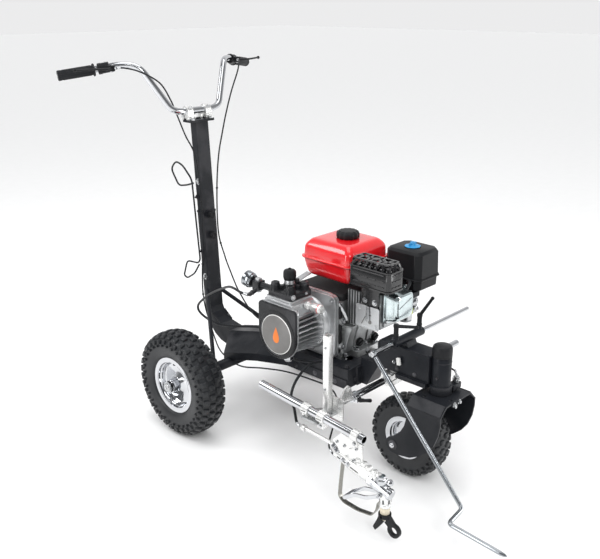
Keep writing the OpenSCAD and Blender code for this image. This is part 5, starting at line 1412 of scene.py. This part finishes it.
def gun_body():
    x = GUN_X
    # dark collects painted shade: the dark inside of the inlet fitting and dark strips for the slots along
    # the handle and around the tip guard.
    body, dark, fine = Shape(), Shape(), Shape()
    body.tube(curved([(x, -547, 219), (x, -600, 216), (x, -650, 211), (x, -668, 198)], 6), 5, 20)
    body.lathe((x, -534, 219), FRONT, [(6.8, 0), (8.4, 0), (9, 0.8), (9, 13.2), (8, 14), (5.5, 14)], 32)
    dark.lathe((x, -534, 219), FRONT, [(0, 1), (6.6, 1), (6.6, 4), (0, 4)], 32)
    for y, z, r in ((-740, 203, 10), (-758, 198, 9), (-775, 193.5, 10), (-793, 189, 9), (-806, 186, 8)):
        body.lathe((x, y, z - 16), (0, 0.24, 0.97), [(0, 0), (r, 0), (r, 9), (r - 1.4, 10), (r - 1.4, 12),
            (r, 13), (r, 19), (r - 2, 21), (0, 21.4)], 6 if r > 9 else 28)
    body.strap([(x, -732, 189), (x, -810, 170)], 15, 12, (0, 0.24, 0.97))
    for y, z in ((-708, 183), (-690, 188)):
        fine.lathe((x - 9, y, z), RIGHT, [(0, 0), (6, 0), (6, 4), (5, 5), (5, 7), (4, 8), (0, 8)], 20)
    fine.lathe((x, -646, 213), (0, -0.82, -0.57), [(0, 0), (7, 0), (8.4, 1.4), (8.4, 10), (7.4, 11),
        (7.4, 14), (8.6, 15), (8.6, 26), (7, 28), (0, 28)], 6)
    a, b = Vector((x, -656, 191.6)), Vector((x, -800, 156))
    along = (b - a).normalized()
    up = Vector((0, along.z, -along.y))
    rows = []
    for t, w, h in ((0, 8, 9), (0.02, 9.6, 11), (0.3, 9.8, 11.6), (0.38, 10.6, 13), (0.62, 10.6, 13),
            (0.7, 9.8, 12), (1, 10, 12)):
        p = a.lerp(b, t)
        rows.append([p + Vector((u * w, 0, 0)) + up * (v * h) for u, v in ((-1, -0.55), (-0.6, -1), (0.6, -1),
            (1, -0.55), (1, 0.55), (0.6, 1), (-0.6, 1), (-1, 0.55))])
    body.rings(rows)
    for side in (-1, 1):
        for start, end, out, thick in ((0.1, 0.32, 9.9, 1), (0.42, 0.6, 10.6, 0.8)):
            dark.strap([a.lerp(b, t) + Vector((side * out, 0, 0)) for t in (start, end)], 3, thick,
                (side, 0, 0))
        fine.bolt(a.lerp(b, 0.36) + Vector((side * 10.4, 0, 0)), (side, 0, 0), 4, 2.4)
    head = Vector((x, -770, 163))
    length = (Vector((x, -846, 144)) - head).length
    way = (Vector((x, -846, 144)) - head).normalized()
    fine.lathe(head, way, [(0, 0), (12, 0), (14, 2), (14, 9), (15.6, 10), (15.6, 20), (13.8, 21), (13.8, 25),
        (16, 26), (16, length - 16), (14.4, length - 15), (14.4, length - 11), (15.4, length - 10),
        (15.4, length - 3), (13, length), (0, length)], 48)
    fine.lathe(head + way * 5, way, [(14, 0), (16.4, 0.6), (16.4, 9), (14, 10)], 6)
    fine.lathe((x, -812, 150), UP, [(0, 0), (12, 0), (12, 18), (15, 18.6), (16, 19.6), (16, 28.4), (15, 29.6),
        (12, 30), (12, 36), (11, 38), (0, 38)], 6)
    body.lathe((x, TIP_Y, 104.2), UP, [(9.2, 0), (14, 0), (15, 1), (15, 9), (13.8, 10.4), (13.8, 15),
        (15, 16), (15, 47), (13.4, 50), (0, 53)], 48)
    for k in range(6):
        turn = radians(60 * k + 15)
        dark.strap([Vector((x + 15.1 * cos(turn), TIP_Y + 15.1 * sin(turn), z)) for z in (118, 130)], 4, 0.8,
            (cos(turn), sin(turn), 0))
    fine.lathe((x, -838, 176), (0, -0.3, 1), [(0, 0), (9, 0), (9, 5), (8, 7), (5.4, 10), (0, 11)], 24)
    body.piece("gun_handle", "gun_silver", ["gun_body"], body="gun_carriage", bevel=0.7)
    fine.piece("gun_fittings", "chrome", body="gun_carriage", bevel=0.4)
    # Painted shade in the inlet, the slots and the tip guard.
    dark.piece("gun_slot_shade", "painted_shade_black", body="gun_carriage")
    guard = Shape()
    path = [(-684, 178), (-677, 110), (-674, 68), (-690, 55), (-738, 52), (-788, 60), (-802, 84), (-805, 106),
        (-813, 114)]
    guard.strap(rounded([(x, y, z) for y, z in path], 9, 4), 14, 3, across=LEFT)
    guard.piece("guard_strap", "strap_steel", body="gun_carriage", bevel=0.5)


def trigger():
    x, pivot = GUN_X, Vector((GUN_X, -818, 140))
    loop, finger = Shape(), Shape()
    for side in (-1, 1):
        cheek = x + side * 20.5
        path = rounded([(cheek, -818, 140), (cheek, -780, 118), (cheek, -744, 110), (cheek, -706, 84)], 10, 5)
        loop.strap(path, 10, 4.2, LEFT)
        loop.ring((cheek - 2.4, pivot.y, pivot.z), LEFT, 0, 7, 4.8, 0.4, 0.5, 28)
        finger.cap_screw((cheek + side * 2.4, pivot.y, pivot.z), (side, 0, 0), 3.4, 2.2)
    loop.piece("trigger_cheeks", "chrome", ["gun_trigger"], body="trigger", bevel=0.5)
    finger.ring((x - 20.5, -706, 84), LEFT, 0, 5.5, 41, 0.5, 0.6, 28)
    finger.rod((x - 20.5, pivot.y, pivot.z), (x + 20.5, pivot.y, pivot.z), 3, 0.4)
    finger.piece("trigger_bar", "chrome", body="trigger", bevel=0.3)


def tip():
    x, y = GUN_X, TIP_Y
    nut = Shape()
    nut.lathe((x, y, 84.3), UP, [(4, 0), (9, 0), (9.6, -0.1), (12.4, 0), (13, 0.8), (13, 17), (11.4, 19.5),
        (4, 19.5)], 72, flutes=12, depth=0.8)
    nut.lathe((x, y, 66), UP, [(2.2, 3), (3, 0), (8, 0), (9, 1), (9, 18.6), (2.2, 18.6)], 40)
    nut.piece("tip_nut", "tip_beige", ["spray_tip"], body="tip_handle")


def gun_post():
    silver, shelf, inside, bolts = Shape(), Shape(), Shape(), Shape()
    x, y = -257, -576
    outer, inner = rectangle(x - 10, y - 10, x + 10, y + 10, 2, 3), rectangle(x - 7.6, y - 7.6, x + 7.6,
        y + 7.6, 1, 3)
    silver.rings([[(u, v, z) for u, v in wall] for wall, z in ((outer, 263), (outer, 485.4), (inner, 486),
        (inner, 312))])
    # Painted shade: a dark plate inside the hollow post.
    inside.prism(rectangle(x - 7.4, y - 7.4, x + 7.4, y + 7.4, 1, 3), "z", 311, 313)
    silver.prism(rectangle(-622, 240, -552, 306, 5), "x", x + 10.4, x + 15)
    silver.lathe((x + 14, -597, 280), LEFT, [(0, 0), (8, 0), (8, 205.6), (7.2, 206.8), (0, 206.8)], 36)
    silver.prism([(x + 11, 290), (x + 14, 306), (x + 30, 330), (x + 44, 334), (x + 54, 326), (x + 64, 299),
        (x + 40, 297)], "y", -613, -608)
    silver.bolt((x + 44, -613, 322), FRONT, 5, 4)
    for share in (0.47, 0.62):
        a, along = CARRIER_BACK.lerp(CARRIER_FRONT, share), CARRIER_WAY
        silver.ring(a - along * 12, along, 12.1, 16.6, 24, 1.2, 1, 40)
        silver.block(a + Vector((-9, -10, -30)), a + Vector((9, 10, -13)))
        # Painted shade in the slit of each clamp.
        inside.block(a + Vector((-16.9, -9, -1.2)), a + Vector((-14, 9, 1.2)))
        bolts.bolt(a + Vector((-9, 0, -22)), RIGHT, 4.6, 4)
    shelf.prism([(-331, -604), (-242, -604), (-242, -566), (-270, -546), (-331, -546)], "z", 258, 264)
    for u in (-300, -266):
        bolts.bolt((u, -594, 264), UP, 5, 4)
    for v, w in ((-612, 250), (-562, 296), (-562, 250)):
        bolts.bolt((x + 15, v, w), LEFT, 4.4, 3)
    for w in (330, 452):
        bolts.cap_screw((x - 10, y, w), RIGHT, 3.6, 2.4)
    silver.piece("post_and_slide", "gun_silver", ["gun_post"], body="gun_carriage", bevel=0.8)
    shelf.piece("post_shelf", "cast_aluminium", body="gun_carriage", bevel=0.8)
    inside.piece("post_gap_shade", "painted_shade_black", body="gun_carriage")
    bolts.piece("post_bolts", "bright_steel", body="gun_carriage")


def gun_bar():
    bar, block, dark, knobs = Shape(), Shape(), Shape(), Shape()
    bar.lathe((-186, BAR_Y, BAR_Z), LEFT, [(8.1, 0), (13.2, 0), (14, 0.8), (14, 25), (13, 26.2), (10, 26.6),
        (10, 529), (9.2, 530), (8.1, 530)], 48)
    bar.prism(rectangle(-618.8, 271.2, -604.6, 288.8, 2), "x", -181.8, -164.4)
    bar.piece("gun_cross_bar", "chrome", ["gun_bar"], bevel=0.5)
    for side in (-1, 1):
        arc = [(BAR_Y + 10.1 * cos(radians(t)), BAR_Z + side * 10.1 * sin(radians(t)))
            for t in range(174, 0, -12)]
        front, rear = BAR_Y - 20, BAR_Y + 18
        jaw = [(front, BAR_Z + side * 1.1)] + arc + [(u, BAR_Z + side * v) for u,
            v in ((rear, 1.1), (rear, 18), (rear - 4, 20.3), (front + 4, 20.3), (front, 17))]
        block.prism(jaw if side > 0 else [(u, max(v, 262)) for u, v in jaw], "x", -27.8, 27.8)
    block.piece("bar_clamp_block", "gun_silver", ["gun_bar_bracket"], bevel=1.6)
    for x in (-18, 18):
        dark.bolt((x, -609, 300.2), UP, 4.4, 5)
    dark.piece("bar_clamp_bolts", "bright_steel")
    for base, tip, across in (((-173, -619.2, 280), (-173, -640, 284), (24, -1, -9)),
            ((28.2, -613, 306), (42, -613, 306), (0, 14, 12))):
        base, tip, across = Vector(base), Vector(tip), Vector(across)
        knobs.rod(base, tip, 4.6, 0.6)
        knobs.tube([tip - across * s for s in (-1, -0.9, -0.5, 0, 0.5, 0.9, 1)],
            lambda t: 6 - 1.4 * (1 - abs(2 * t - 1)) - 2.2 * (abs(2 * t - 1) > 0.97), 20)
    knobs.piece("bar_clamp_handles", "black_plastic", ["gun_bar_handles"], bevel=0.4)


BUILDERS = [wheels, fuel_tank, muffler, air_cleaner, pump_body, pump_face, pump_head, prime_valve,
    pressure_gauge, suction_fitting, engine_details, rocker_cover, carburettor_details, throttle,
    recoil_details, handlebar, lever_perches, levers, handlebar_clamp, column_fittings, frame_fittings,
    axle_nuts, stem, caster_fittings, pointer, clamp_handles, cables, gun_carrier, gun_body, trigger, tip,
    gun_post, gun_bar]


# ---------- build ----------
make_camera()
make_floor()
make_light()
dress_cad_nodes()
for build in BUILDERS:
    build()
